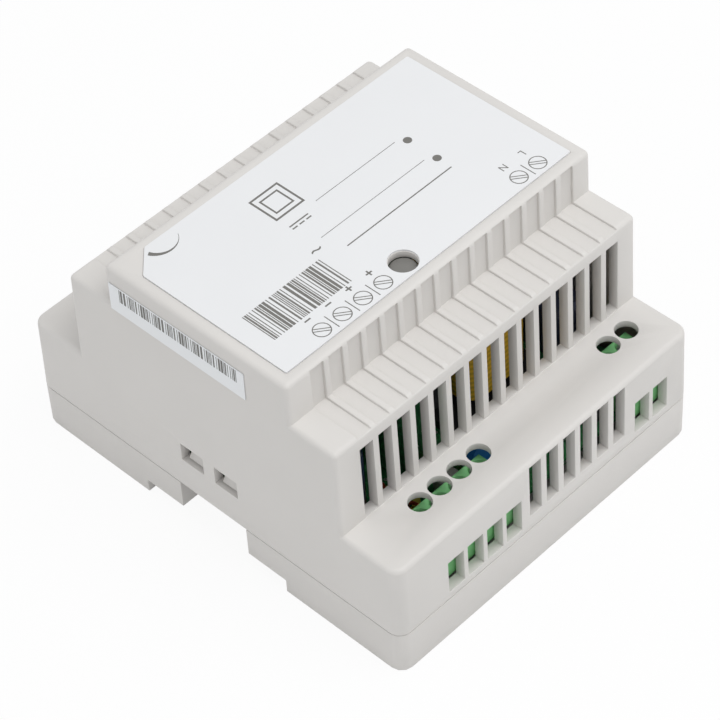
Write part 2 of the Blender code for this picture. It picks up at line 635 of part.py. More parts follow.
def din_latch():
    """A flanged slider under the far foot, with a hook for the rail and a slot for a screwdriver."""
    wide, narrow = LATCH_WIDTH / 2, LATCH_NECK_WIDTH / 2
    end = CASE_HEIGHT / 2 - GAP
    section = [
        (-narrow, LATCH_BOTTOM_Z), (narrow, LATCH_BOTTOM_Z), (narrow, LATCH_SHOULDER_Z),
        (wide, LATCH_SHOULDER_Z), (wide, LATCH_TOP_Z), (-wide, LATCH_TOP_Z),
        (-wide, LATCH_SHOULDER_Z), (-narrow, LATCH_SHOULDER_Z),
    ]
    tip = RAIL_HALF - LATCH_REACH
    bm = bmesh.new()
    add_prism(bm, section, "Y", RAIL_HALF + GAP, end)
    latch = solid("din_latch", bm, (0.16, 0.16, 0.17), 0.5, origin=(0, RAIL_HALF, LATCH_BOTTOM_Z))
    bm = bmesh.new()
    hook_top = RAIL_SEAT_Z - RAIL_LIP - RAIL_CLEARANCE
    hook = [(RAIL_HALF + BASE_WALL, LATCH_BOTTOM_Z), (tip, LATCH_SHOULDER_Z), (tip, hook_top),
            (RAIL_HALF + BASE_WALL, hook_top)]
    add_prism(bm, hook, "X", -narrow, narrow)
    join(latch, "hook", bm)
    bm = bmesh.new()
    slot_end = end - LATCH_SLOT_MARGIN
    slot_x = (-LATCH_SLOT_WIDTH / 2, LATCH_SLOT_WIDTH / 2)
    add_box(bm, slot_x, (slot_end - LATCH_SLOT_LENGTH, slot_end), (-CUT_PAST, LATCH_TOP_Z + CUT_PAST))
    cut(latch, "driver_slot", bm)


def front_label():
    low = FRONT_Z + LABEL_GLUE
    x, y = LABEL_LENGTH / 2, LABEL_HEIGHT / 2
    outline = [(-x, -y), (x, -y), (x, y), (-x + LABEL_CHAMFER, y), (-x, y - LABEL_CHAMFER)]
    bm = bmesh.new()
    add_prism(bm, outline, "Z", low, low + LABEL_THICKNESS)
    label = solid("front_label", bm, (0.80, 0.82, 0.84), 0.4)
    bm = bmesh.new()
    add_rod(bm, (*LED_XY, 0), LED_HOLE_DIAMETER, low - CUT_PAST, low + CUT_PAST)
    cut(label, "light_hole", bm)


def side_label():
    """A strip that lies on the drafted left wall."""
    bottom = FRONT_Z - SIDE_LABEL_FROM_FRONT
    top = bottom + SIDE_LABEL_HEIGHT
    lift = LABEL_GLUE + LABEL_THICKNESS
    section = [
        (-side_x(bottom) - LABEL_GLUE, bottom), (-side_x(top) - LABEL_GLUE, top),
        (-side_x(top) - lift, top), (-side_x(bottom) - lift, bottom),
    ]
    bm = bmesh.new()
    half = SIDE_LABEL_LENGTH / 2
    add_prism(bm, section, "Y", SIDE_LABEL_CENTRE_Y - half, SIDE_LABEL_CENTRE_Y + half)
    solid("side_label", bm, (0.82, 0.84, 0.86), 0.45)


def main_pcb():
    half_x = side_x(SNAP_WINDOW_TOP_Z) - SIDE_WALL - PCB_SIDE_GAP
    half_y = board_end_y()
    bm = bmesh.new()
    add_box(bm, (-half_x, half_x), (-half_y, half_y), (PCB_BOTTOM_Z, PCB_TOP_Z))
    board = solid("main_pcb", bm, BOARD_GREEN, 0.4)
    bm = bmesh.new()
    for x, y in PCB_SCREW_PLACES:
        add_rod(bm, (x, y, 0), PCB_SCREW_DIAMETER + 2 * GAP, PCB_BOTTOM_Z - CUT_PAST, PCB_TOP_Z + CUT_PAST)
    cut(board, "screw_holes", bm)


def pcb_screws():
    head_z = PCB_TOP_Z + GAP
    tip_z = head_z - PCB_SCREW_LENGTH
    radius, head = PCB_SCREW_DIAMETER / 2, PCB_SCREW_HEAD / 2
    for number, (x, y) in enumerate(PCB_SCREW_PLACES, 1):
        bm = bmesh.new()
        add_turned(bm, [(radius / 2, tip_z), (radius, tip_z + radius), (radius, head_z), (head, head_z),
                        (head, head_z + PCB_SCREW_HEAD_HEIGHT)], (x, y, 0), steps=12)
        solid(f"pcb_screw_{number}", bm, STEEL, 0.35, 1.0)


def daughter_pcb():
    half = PCB_THICKNESS / 2
    bm = bmesh.new()
    add_box(bm, (DAUGHTER_X - half, DAUGHTER_X + half),
            (DAUGHTER_NEAR_Y, DAUGHTER_NEAR_Y + DAUGHTER_LENGTH), (SEAT_Z, SEAT_Z + DAUGHTER_HEIGHT))
    solid("daughter_pcb", bm, BOARD_GREEN, 0.4)


def terminal_block(name, pole_xs):
    """A block whose skirt hangs before the board, with a wire chamber and a screw bore for each pole."""
    half = POLE_PITCH / 2
    front = TERMINAL_WALL_GAP + END_WALL - lower_y(TERMINAL_TOP_Z)
    skirt_rear, skirt_foot = -board_end_y() - GAP, SEAT_Z - TERMINAL_SKIRT
    outline = [
        (front, skirt_foot), (front, TERMINAL_TOP_Z), (TERMINAL_REAR_Y, TERMINAL_TOP_Z),
        (TERMINAL_REAR_Y, SEAT_Z), (skirt_rear, SEAT_Z), (skirt_rear, skirt_foot),
    ]
    bm = bmesh.new()
    add_prism(bm, outline, "X", pole_xs[0] - half, pole_xs[-1] + half)
    block = solid(name, bm, TERMINAL_GREEN, 0.4)
    chamber = (front + POLE_FRONT_WALL, TERMINAL_REAR_Y - POLE_REAR_WALL)
    bm = bmesh.new()
    for x in pole_xs:
        wide = (x - POLE_CAVITY_WIDTH / 2, x + POLE_CAVITY_WIDTH / 2)
        add_box(bm, wide, chamber, (CAVITY_FLOOR_Z, CAVITY_TOP_Z))
    cut(block, "chambers", bm)
    entry_foot = CAVITY_FLOOR_Z + GAP + CAGE_WALL
    bm = bmesh.new()
    for x in pole_xs:
        add_box(bm, (x - WIRE_ENTRY_WIDTH / 2, x + WIRE_ENTRY_WIDTH / 2), (front - CUT_PAST, POLE_Y),
                (entry_foot, entry_foot + WIRE_ENTRY_HEIGHT))
    cut(block, "wire_entries", bm)
    bm = bmesh.new()
    for x in pole_xs:
        shank, head = SCREW_SHANK_DIAMETER / 2 + GAP, SCREW_HEAD_DIAMETER / 2 + GAP
        add_turned(bm, [(shank, CAVITY_TOP_Z - GAP), (shank, HEAD_SEAT_Z), (head, HEAD_SEAT_Z),
                        (head, TERMINAL_TOP_Z + CUT_PAST)], (x, POLE_Y, 0))
    cut(block, "screw_bores", bm)


def terminal_screws():
    shank, head = SCREW_SHANK_DIAMETER / 2, SCREW_HEAD_DIAMETER / 2
    seat = HEAD_SEAT_Z + GAP
    tip = CAVITY_FLOOR_Z + GAP + CAGE_HEIGHT - CAGE_ROOF
    for number, x in enumerate(POLE_XS, 1):
        bm = bmesh.new()
        add_turned(bm, [(shank, tip), (shank, seat), (head, seat), (head, seat + SCREW_HEAD_HEIGHT)],
                   (x, POLE_Y, 0), steps=16)
        screw = solid(f"terminal_screw_{number}", bm, STEEL, 0.3, 1.0, origin=(x, POLE_Y, seat))
        bm = bmesh.new()
        half = SCREW_SLOT_WIDTH / 2
        top = seat + SCREW_HEAD_HEIGHT
        add_box(bm, (x - half, x + half), (POLE_Y - head - CUT_PAST, POLE_Y + head + CUT_PAST),
                (top - SCREW_SLOT_DEPTH, top + CUT_PAST))
        cut(screw, "slot", bm)


def clamp_cages():
    """Square tubes that the screws pull up against the wires."""
    low = CAVITY_FLOOR_Z + GAP
    half = POLE_CAVITY_WIDTH / 2 - GAP
    y = (POLE_Y - CAGE_DEPTH / 2, POLE_Y + CAGE_DEPTH / 2)
    for number, x in enumerate(POLE_XS, 1):
        bm = bmesh.new()
        add_box(bm, (x - half, x + half), y, (low, low + CAGE_HEIGHT))
        cage = solid(f"clamp_cage_{number}", bm, (0.60, 0.52, 0.34), 0.35, 1.0, origin=(x, POLE_Y, low))
        bm = bmesh.new()
        add_box(bm, (x - half + CAGE_WALL, x + half - CAGE_WALL), (y[0] - CUT_PAST, y[1] + CUT_PAST),
                (low + CAGE_WALL, low + CAGE_HEIGHT - CAGE_ROOF))
        cut(cage, "wire_way", bm)
        bm = bmesh.new()
        add_rod(bm, (x, POLE_Y, 0), SCREW_SHANK_DIAMETER + 2 * GAP, low + CAGE_HEIGHT - CAGE_ROOF - GAP,
                low + CAGE_HEIGHT + CUT_PAST, steps=16)
        cut(cage, "screw_way", bm)


def trimmer():
    x, y = TRIMMER_XY
    half = TRIMMER_SIZE / 2
    top = SEAT_Z + TRIMMER_HEIGHT
    bm = bmesh.new()
    add_box(bm, (x - half, x + half), (y - half, y + half), (SEAT_Z, top))
    solid("trimmer_body", bm, (0.05, 0.13, 0.40), 0.4)
    rotor = ROTOR_DIAMETER / 2
    low, high = top + GAP, top + GAP + ROTOR_HEIGHT
    bm = bmesh.new()
    add_turned(bm, [(rotor, low), (rotor, high)], (x, y, 0))
    made = solid("trimmer_rotor", bm, (0.85, 0.83, 0.78), 0.4, origin=(x, y, low))
    bm = bmesh.new()
    slot = SCREW_SLOT_WIDTH / 2
    add_box(bm, (x - slot, x + slot), (y - rotor - CUT_PAST, y + rotor + CUT_PAST),
            (high - SCREW_SLOT_DEPTH, high + CUT_PAST))
    cut(made, "slot", bm)


def status_light():
    """A round light on a tube that lifts it from the board to its hole in the front."""
    radius = LED_HOLE_DIAMETER / 2 - GAP
    top = FRONT_Z - LED_RECESS
    foot = top - LED_LENGTH
    place = (*LED_XY, 0)
    bm = bmesh.new()
    add_turned(bm, [(radius, SEAT_Z), (radius, foot - GAP)], place, steps=16)
    tube = solid("led_spacer", bm, (0.12, 0.12, 0.12), 0.6)
    bm = bmesh.new()
    add_rod(bm, place, LED_SPACER_BORE, SEAT_Z - CUT_PAST, foot + CUT_PAST, steps=16)
    cut(tube, "bore", bm)
    bm = bmesh.new()
    add_turned(bm, [(radius, foot), (radius, top - LED_EDGE), (radius - LED_EDGE, top)], place, steps=16)
    solid("status_led", bm, (0.35, 0.45, 0.36), 0.25)


def transformer():
    x, y = TRANSFORMER_XY
    base_top = SEAT_Z + BOBBIN_BASE
    low = base_top + GAP
    half_x, half_t = CORE_WIDTH / 2, CORE_THICKNESS / 2
    bm = bmesh.new()
    add_box(bm, (x - half_x, x + half_x), (y - half_t, y + half_t), (low, low + CORE_HEIGHT))
    core = solid("transformer_core", bm, FERRITE, 0.5)
    window = half_x - CORE_LEG
    bm = bmesh.new()
    add_box(bm, (x - window, x + window), (y - half_t - CUT_PAST, y + half_t + CUT_PAST),
            (low + CORE_LEG, low + CORE_HEIGHT - CORE_LEG))
    cut(core, "window", bm)
    bm = bmesh.new()
    outline = rounded_outline(2 * (window - GAP), WINDING_DEPTH, WINDING_CORNER)
    add_prism(bm, shifted(outline, (x, y)), "Z", low + CORE_LEG + GAP, low + CORE_HEIGHT - CORE_LEG - GAP)
    solid("transformer_winding", bm, (0.75, 0.52, 0.06), 0.35)
    bm = bmesh.new()
    add_prism(bm, shifted(rounded_outline(CORE_WIDTH, WINDING_DEPTH, EDGE_RADIUS, 2), (x, y)), "Z",
              SEAT_Z, base_top)
    solid("transformer_bobbin", bm, EPOXY_BLACK, 0.5)


def heatsink(name, sink_x, span_y, device_name, screw_name, side):
    """An upright plate with a foot, and a device screwed to the side that faces along side."""
    face = sink_x + (SINK_THICKNESS if side > 0 else 0)
    back = sink_x + (0 if side > 0 else SINK_THICKNESS)
    hole_z = SEAT_Z + DEVICE_LIFT + DEVICE_HEIGHT - DEVICE_TAB_HEIGHT / 2
    hole = SINK_SCREW_DIAMETER + 2 * GAP
    outline = [
        (back, SEAT_Z), (back, SEAT_Z + SINK_HEIGHT), (face, SEAT_Z + SINK_HEIGHT),
        (face, SEAT_Z + SINK_THICKNESS), (face + side * SINK_FOOT, SEAT_Z + SINK_THICKNESS),
        (face + side * SINK_FOOT, SEAT_Z),
    ]
    bm = bmesh.new()
    add_prism(bm, outline, "Y", *span_y)
    sink = solid(name, bm, (0.62, 0.63, 0.64), 0.4, 1.0)
    bm = bmesh.new()
    add_rod(bm, (0, DEVICE_Y, hole_z), hole, sink_x - CUT_PAST, sink_x + SINK_THICKNESS + CUT_PAST, "X", 16)
    cut(sink, "screw_hole", bm)

    near = face + side * GAP
    low = SEAT_Z + DEVICE_LIFT
    body_top = low + DEVICE_HEIGHT - DEVICE_TAB_HEIGHT
    package = [
        (near, low), (near, low + DEVICE_HEIGHT), (near + side * DEVICE_TAB_THICKNESS, low + DEVICE_HEIGHT),
        (near + side * DEVICE_TAB_THICKNESS, body_top), (near + side * DEVICE_THICKNESS, body_top),
        (near + side * DEVICE_THICKNESS, low),
    ]
    bm = bmesh.new()
    add_prism(bm, package, "Y", DEVICE_Y - DEVICE_WIDTH / 2, DEVICE_Y + DEVICE_WIDTH / 2)
    device = solid(device_name, bm, EPOXY_BLACK, 0.45)
    bm = bmesh.new()
    tab = sorted((near - side * CUT_PAST, near + side * (DEVICE_TAB_THICKNESS + CUT_PAST)))
    add_rod(bm, (0, DEVICE_Y, hole_z), hole, *tab, "X", 16)
    cut(device, "screw_hole", bm)

    seat = near + side * (DEVICE_TAB_THICKNESS + GAP)
    radius, head = SINK_SCREW_DIAMETER / 2, SINK_SCREW_HEAD / 2
    bm = bmesh.new()
    profile = [(radius, -SINK_SCREW_LENGTH), (radius, 0), (head, 0), (head, SINK_SCREW_HEAD_HEIGHT)]
    add_turned(bm, [(r, side * h) for r, h in profile], (seat, DEVICE_Y, hole_z), "X", 16)
    solid(screw_name, bm, STEEL, 0.35, 1.0)


def capacitor(name, size, place, colour):
    """A sleeved can with the rolled-in neck near its foot."""
    radius, length = size[0] / 2, size[1]
    neck = radius - CAPACITOR_ROLL
    bm = bmesh.new()
    add_turned(bm, [
        (neck, SEAT_Z), (radius, SEAT_Z + CAPACITOR_ROLL), (radius, SEAT_Z + CAPACITOR_ROLL_HEIGHT),
        (neck, SEAT_Z + CAPACITOR_ROLL_HEIGHT + CAPACITOR_ROLL),
        (radius, SEAT_Z + CAPACITOR_ROLL_HEIGHT + 2 * CAPACITOR_ROLL),
        (radius, SEAT_Z + length - CAPACITOR_ROLL), (neck, SEAT_Z + length),
    ], (*place, 0))
    solid(name, bm, colour, 0.35)


def block(name, size, place, colour):
    x, y = place
    bm = bmesh.new()
    add_box(bm, (x - size[0] / 2, x + size[0] / 2), (y - size[1] / 2, y + size[1] / 2),
            (SEAT_Z, SEAT_Z + size[2]))
    edges = [edge for edge in bm.edges if max(v.co.z for v in edge.verts) > SEAT_Z + size[2] / 2]
    bevel(bm, edges, min(size) * BLOCK_CHAMFER_SHARE, 1)
    solid(name, bm, colour, 0.4)


def disc(name, diameter, place, colour):
    """A coated disc on edge, standing on its dipped leg."""
    radius, half = diameter / 2, DISC_THICKNESS / 2
    rim = radius - half / 2
    middle = (*place, SEAT_Z + DISC_LEG + radius)
    bm = bmesh.new()
    add_turned(bm, [(rim, -half), (radius, -half / 2), (radius, half / 2), (rim, half)], middle, "Y")
    made = solid(name, bm, colour, 0.35)
    bm = bmesh.new()
    add_box(bm, (place[0] - radius / 2, place[0] + radius / 2), (place[1] - half / 2, place[1] + half / 2),
            (SEAT_Z, middle[2]))
    join(made, "leg", bm)


def mains_choke():
    """A square ferrite frame on edge with a coil on each upright limb."""
    x, y = CHOKE_XY
    low = SEAT_Z
    half = CHOKE_LENGTH / 2
    limb = CHOKE_LIMB / 2
    bm = bmesh.new()
    add_box(bm, (x - limb, x + limb), (y - half, y + half), (low, low + CHOKE_HEIGHT))
    core = solid("choke_core", bm, FERRITE, 0.5)
    bm = bmesh.new()
    add_box(bm, (x - limb - CUT_PAST, x + limb + CUT_PAST), (y - half + CHOKE_LIMB, y + half - CHOKE_LIMB),
            (low + CHOKE_LIMB, low + CHOKE_HEIGHT - CHOKE_LIMB))
    cut(core, "window", bm)
    for number, sign in enumerate((-1, 1), 1):
        limb_y = y + sign * (half - limb)
        span = low + CHOKE_HEIGHT / 2
        bm = bmesh.new()
        outline = rounded_outline(CHOKE_WIDTH, CHOKE_COIL_LENGTH + CHOKE_LIMB, EDGE_RADIUS, 2)
        coil_half = CHOKE_HEIGHT / 2 - CHOKE_LIMB - GAP
        add_prism(bm, shifted(outline, (x, limb_y)), "Z", span - coil_half, span + coil_half)
        coil = solid(f"choke_winding_{number}", bm, COPPER_RED, 0.3, 0.4)
        bm = bmesh.new()
        add_box(bm, (x - limb - GAP, x + limb + GAP), (limb_y - limb - GAP, limb_y + limb + GAP),
                (low - CUT_PAST, low + CHOKE_HEIGHT + CUT_PAST))
        cut(coil, "limb_way", bm)


def inductor_points():
    """The centre line of one wire wound round a ring, open at its ends."""
    x, y = INDUCTOR_XY
    wire_way = INDUCTOR_CORE_HALF * math.sqrt(2) + GAP + INDUCTOR_WIRE_RADIUS
    middle_z = SEAT_Z + wire_way + INDUCTOR_WIRE_RADIUS
    count = INDUCTOR_TURNS * INDUCTOR_POINTS_PER_TURN
    points = []
    for i in range(count + 1):
        around = 2 * math.pi * i / count * (1 - 1 / INDUCTOR_TURNS)
        over = 2 * math.pi * i / INDUCTOR_POINTS_PER_TURN
        radius = INDUCTOR_RADIUS + wire_way * math.cos(over)
        points.append(Vector((x + radius * math.cos(around), y + radius * math.sin(around),
                              middle_z + wire_way * math.sin(over))))
    return points, middle_z


def output_inductor():
    points, middle_z = inductor_points()
    x, y = INDUCTOR_XY
    inner, outer = INDUCTOR_RADIUS - INDUCTOR_CORE_HALF, INDUCTOR_RADIUS + INDUCTOR_CORE_HALF
    bm = bmesh.new()
    add_rod(bm, (x, y, middle_z), 2 * outer, -INDUCTOR_CORE_HALF, INDUCTOR_CORE_HALF)
    core = solid("inductor_core", bm, (0.55, 0.50, 0.10), 0.6)
    bm = bmesh.new()
    add_rod(bm, (x, y, middle_z), 2 * inner, -INDUCTOR_CORE_HALF - CUT_PAST, INDUCTOR_CORE_HALF + CUT_PAST)
    cut(core, "bore", bm)

    curve = bpy.data.curves.new("inductor_winding", "CURVE")
    curve.dimensions = "3D"
    curve.bevel_depth = INDUCTOR_WIRE_RADIUS
    curve.bevel_resolution = 1
    curve.use_fill_caps = True
    spline = curve.splines.new("POLY")
    spline.points.add(len(points) - 1)
    for target, point in zip(spline.points, points):
        target.co = (*point, 1)
    winding = bpy.data.objects.new("inductor_winding", curve)
    bpy.context.collection.objects.link(winding)
    curve.materials.append(finish("inductor_winding", COPPER_RED, 0.3, 0.4))
    turn = INDUCTOR_POINTS_PER_TURN
    apart = min((a - b).length for i, a in enumerate(points) for b in points[i + turn // 2:])
    print(f"inductor winding: least gap between turns {1000 * (apart - 2 * INDUCTOR_WIRE_RADIUS):.2f} mm")


def fuse():
    bm = bmesh.new()
    add_rod(bm, (*FUSE_XY, 0), FUSE_DIAMETER, SEAT_Z, SEAT_Z + FUSE_LENGTH, steps=16)
    solid("fuse", bm, EPOXY_BLACK, 0.4)


def build():
    clear_scene()
    top_cover()
    base_tray()
    din_latch()
    front_label()
    side_label()
    main_pcb()
    pcb_screws()
    daughter_pcb()
    terminal_block("output_terminal", OUTPUT_POLE_XS)
    terminal_block("input_terminal", INPUT_POLE_XS)
    terminal_screws()
    clamp_cages()
    trimmer()
    status_light()
    transformer()
    heatsink("primary_heatsink", PRIMARY_SINK_X, PRIMARY_SINK_Y, "switching_transistor",
             "primary_sink_screw", 1)
    heatsink("secondary_heatsink", SECONDARY_SINK_X, SECONDARY_SINK_Y, "output_rectifier",
             "secondary_sink_screw", 1)
    capacitor("bulk_capacitor", BULK_CAPACITOR, BULK_CAPACITOR_XY, (0.03, 0.04, 0.08))
    for number, place in enumerate(OUTPUT_CAPACITOR_PLACES, 1):
        capacitor(f"output_capacitor_{number}", OUTPUT_CAPACITOR, place, (0.02, 0.03, 0.07))
    block("mains_capacitor", MAINS_CAPACITOR, MAINS_CAPACITOR_XY, (0.05, 0.06, 0.10))
    disc("safety_capacitor", SAFETY_DISC_DIAMETER, SAFETY_DISC_XY, (0.03, 0.20, 0.55))
    disc("thermistor", THERMISTOR_DIAMETER, THERMISTOR_XY, (0.04, 0.05, 0.05))
    mains_choke()
    output_inductor()
    block("bridge_rectifier", BRIDGE, BRIDGE_XY, EPOXY_BLACK)
    fuse()
    block("optocoupler", OPTOCOUPLER, OPTOCOUPLER_XY, (0.80, 0.79, 0.75))
    block("controller_chip", CONTROLLER, CONTROLLER_XY, EPOXY_BLACK)


build()
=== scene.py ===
"""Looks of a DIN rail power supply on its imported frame: case, labels, terminals, insides and stage."""

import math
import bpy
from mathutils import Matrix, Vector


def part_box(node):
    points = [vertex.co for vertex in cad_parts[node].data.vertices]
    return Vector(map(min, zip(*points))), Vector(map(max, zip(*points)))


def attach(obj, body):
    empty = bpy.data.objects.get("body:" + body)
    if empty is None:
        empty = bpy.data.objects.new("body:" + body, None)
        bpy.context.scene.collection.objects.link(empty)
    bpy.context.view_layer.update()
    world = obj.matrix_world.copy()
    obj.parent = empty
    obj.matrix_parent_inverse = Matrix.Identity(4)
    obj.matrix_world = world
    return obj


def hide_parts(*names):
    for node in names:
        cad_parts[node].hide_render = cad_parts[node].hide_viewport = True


bl_info = {
    "name": "Rail Power Supply Looks",
    "version": (1, 0, 0),
    "blender": (4, 5, 0),
    "location": "View3D > Sidebar > Rail Supply",
    "description": "Models and finishes a stepped rail-mounted power supply around its CAD frame",
    "category": "Object",
}

import bmesh
import bpy
from mathutils import Matrix, Vector

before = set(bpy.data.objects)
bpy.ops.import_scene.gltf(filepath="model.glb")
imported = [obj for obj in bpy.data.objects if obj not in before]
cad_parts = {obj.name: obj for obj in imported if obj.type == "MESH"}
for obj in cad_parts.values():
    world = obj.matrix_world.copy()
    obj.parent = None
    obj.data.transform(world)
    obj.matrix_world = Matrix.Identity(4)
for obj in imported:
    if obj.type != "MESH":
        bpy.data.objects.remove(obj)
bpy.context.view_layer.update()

CASE_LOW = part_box("base_tray")[0]
COVER_LOW, COVER_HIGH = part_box("top_cover")
LABEL_LOW, LABEL_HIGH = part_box("front_label")
STICKER_LOW, STICKER_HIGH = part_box("side_label")
SCREW_COUNT = 6
SCREWS = [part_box(f"terminal_screw_{i}") for i in range(1, SCREW_COUNT + 1)]
POLES = [(low + high) / 2 for low, high in SCREWS]
LIGHT_LOW, LIGHT_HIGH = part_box("status_led")
LIGHT = (LIGHT_LOW + LIGHT_HIGH) / 2
ROTOR_LOW, ROTOR_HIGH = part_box("trimmer_rotor")
ROTOR = (ROTOR_LOW + ROTOR_HIGH) / 2

# The label's one cut corner, and the rounds of all its corners
LABEL_CHAMFER = 0.0050
LABEL_CORNER = 0.0003
LABEL_CORNER_STEPS = 6

# How far a cutter runs past what it cuts, and the distances under which places count as one
PAST = 0.002
FINE = 0.00001
MERGE = FINE / 4

# Turns between two faces: up to these they merge, in a new block and in a copied solid, and shade as one
FLAT_BLOCK = math.radians(0.5)
FLAT_COPY = math.radians(0.4)
SMOOTH_TURN = math.radians(32)

# Turns past which an edge is eased, and counts as an outer edge
EASED_TURN = math.radians(40)
OUTER_TURN = math.radians(50)

# Rise of the normal past which a face looks up
TOP_FACING = 0.9

# Flats along the rounds
CORNER_STEPS = 7
EDGE_STEPS = 4
RIB_STEPS = 3
CRISP_STEPS = 2

# Rounds on the edges of pieces copied from the solids
TRAY_EASE = 0.00018
LATCH_EASE = 0.00015
STICKER_EASE = 0.00002
TERMINAL_EASE = 0.00012
SCREW_EASE = 0.00012
CAGE_EASE = 0.00008

# The step behind the terminal screws, from their middle and from the block's top
STEP_BEHIND_SCREW = 0.0023
STEP_DEPTH = 0.0050

# Tones of small parts, and the tray's tint beside the cover and the sticker ink's beside the label's
STEEL = (0.60, 0.60, 0.61)
BRASS = (0.62, 0.50, 0.28)
ALUMINIUM = (0.66, 0.67, 0.68)
TIN = (0.62, 0.62, 0.60)
LATCH_BLACK = (0.10, 0.10, 0.105)
LENS_GREY = (0.185, 0.18, 0.168)
TRAY_TINT = 0.985
STICKER_INK_TINT = 0.8


def size_prop(name, description, default):
    return bpy.props.FloatProperty(name=name, description=description, default=default, unit="LENGTH",
                                   precision=5)


def ratio_prop(name, description, default):
    return bpy.props.FloatProperty(name=name, description=description, default=default, subtype="FACTOR")


def count_prop(name, description, default):
    return bpy.props.IntProperty(name=name, description=description, default=default)


def colour_prop(name, description, default):
    return bpy.props.FloatVectorProperty(name=name, description=description, default=default,
                                         subtype="COLOR", size=3, min=0, max=1)


def angle_prop(name, description, degrees):
    return bpy.props.FloatProperty(name=name, description=description, default=math.radians(degrees),
                                   subtype="ANGLE")


def power_prop(name, description, default):
    return bpy.props.FloatProperty(name=name, description=description, default=default, unit="POWER")


class CaseSizes(bpy.types.PropertyGroup):
    """Sizes of the moulded case."""

    seam_z: size_prop("Seam", "Height of the joint line between tray and cover", 0.0097)
    seam_close: size_prop("Seam closing", "How far the cover's rim is drawn down to the tray", 0.0001)
    shelf_z: size_prop("Terminal shelf", "Height of the shelf with the screw holes", 0.0265)
    step_z: size_prop("Upper shelf", "Height of the ribbed shelf", 0.0466)
    louvre_height: size_prop("Louvre body", "Distance between the two slotted walls at their foot", 0.0664)
    nose_height: size_prop("Nose", "Distance between the two nose walls at their foot", 0.0448)
    corner_radius: size_prop("Corner radius", "Radius of the upright outer corners", 0.0026)
    edge_radius: size_prop("Edge radius", "Radius of the other outer edges", 0.0010)
    side_wall: size_prop("Side wall", "Thickness of the plain side walls", 0.0020)
    end_wall: size_prop("End wall", "Thickness of the slotted walls", 0.0021)
    roof: size_prop("Roof", "Thickness of shelves and front", 0.0015)
    louvre_pitch: size_prop("Louvre pitch", "Distance from slot to slot", 0.00452)
    louvre_width: size_prop("Louvre width", "Width of one slot", 0.0032)
    louvre_first: size_prop("First louvre", "Left edge of the first slot", -0.0327)
    louvre_sill: size_prop("Louvre sill", "Wall left under a slot", 0.0002)
    louvre_top: size_prop("Louvre head", "Wall left above a slot", 0.0030)
    rib_rise: size_prop("Rib rise", "Depth of the panels between ribs", 0.0005)
    rib_edge: size_prop("Rib edge", "Round on the long edges of the ribs", 0.00018)
    rib_rim: size_prop("Rib rim", "Wall left above the panels between ribs", 0.0005)
    vent_first: size_prop("First vent", "Left edge of the first lower vent", -0.0052)
    vent_width: size_prop("Vent width", "Width of a lower vent", 0.0031)
    vent_low: size_prop("Vent foot", "Lower end of the lower vents", 0.0131)
    vent_high: size_prop("Vent head", "Upper end of the lower vents", 0.0256)
    window_width: size_prop("Wire window", "Width of a wire window", 0.0040)
    window_shift: size_prop("Window shift", "Sideways shift of a wire window from its screw", -0.0005)
    window_low: size_prop("Window foot", "Lower end of a wire window", 0.0114)
    window_high: size_prop("Window head", "Upper end of a wire window", 0.0190)
    screw_hole: size_prop("Screw hole", "Diameter of a screwdriver hole", 0.0045)
    trimmer_hole: size_prop("Trimmer hole", "Diameter of the voltage trimmer's hole", 0.0056)
    light_hole: size_prop("Light hole", "Diameter of the status light's hole", 0.0054)
    snap_length: size_prop("Snap window", "Length of a snap window", 0.0057)
    snap_pitch: size_prop("Snap pitch", "Distance between the two snap windows", 0.0086)
    snap_low: size_prop("Snap foot", "Lower end of a snap window", 0.0168)
    snap_high: size_prop("Snap head", "Upper end of a snap window", 0.0210)
    label_bed: size_prop("Label bed", "Depth of the shallow bed that the label lies in", 0.00012)
    label_hole_gap: size_prop("Label hole gap", "How far the label's light hole clears the case's", 0.00014)
    label_gap: size_prop("Label gap", "Gap round the label in its bed", 0.00014)
    crisp_edge: size_prop("Crisp edge", "Small round on slot and hole edges", 0.00013)
    side_draft: ratio_prop("Side draft", "Narrowing of each side per height", 0.011)
    end_draft: ratio_prop("End draft", "Narrowing of each end per height", 0.020)
    louvre_count: count_prop("Louvres", "Slots in a row", 15)
    vent_count: count_prop("Vents", "Lower vents in a row", 6)


class FinishColours(bpy.types.PropertyGroup):
    """Main colours."""

    case: colour_prop("Case", "Moulded case plastic", (0.660, 0.638, 0.612))
    label: colour_prop("Label", "Printed front film", (0.768, 0.772, 0.780))
    ink: colour_prop("Ink", "Print on the labels", (0.155, 0.150, 0.138))
    sticker: colour_prop("Sticker", "Paper of the side sticker", (0.800, 0.812, 0.825))
    terminal: colour_prop("Terminal", "Terminal block plastic", (0.210, 0.560, 0.225))
    board: colour_prop("Board", "Solder mask", (0.030, 0.170, 0.060))
    tape: colour_prop("Tape", "Transformer tape", (0.720, 0.450, 0.040))
    sleeve: colour_prop("Sleeve", "Capacitor sleeve", (0.020, 0.030, 0.075))
    wire: colour_prop("Wire", "Enamelled wire", (0.420, 0.085, 0.040))


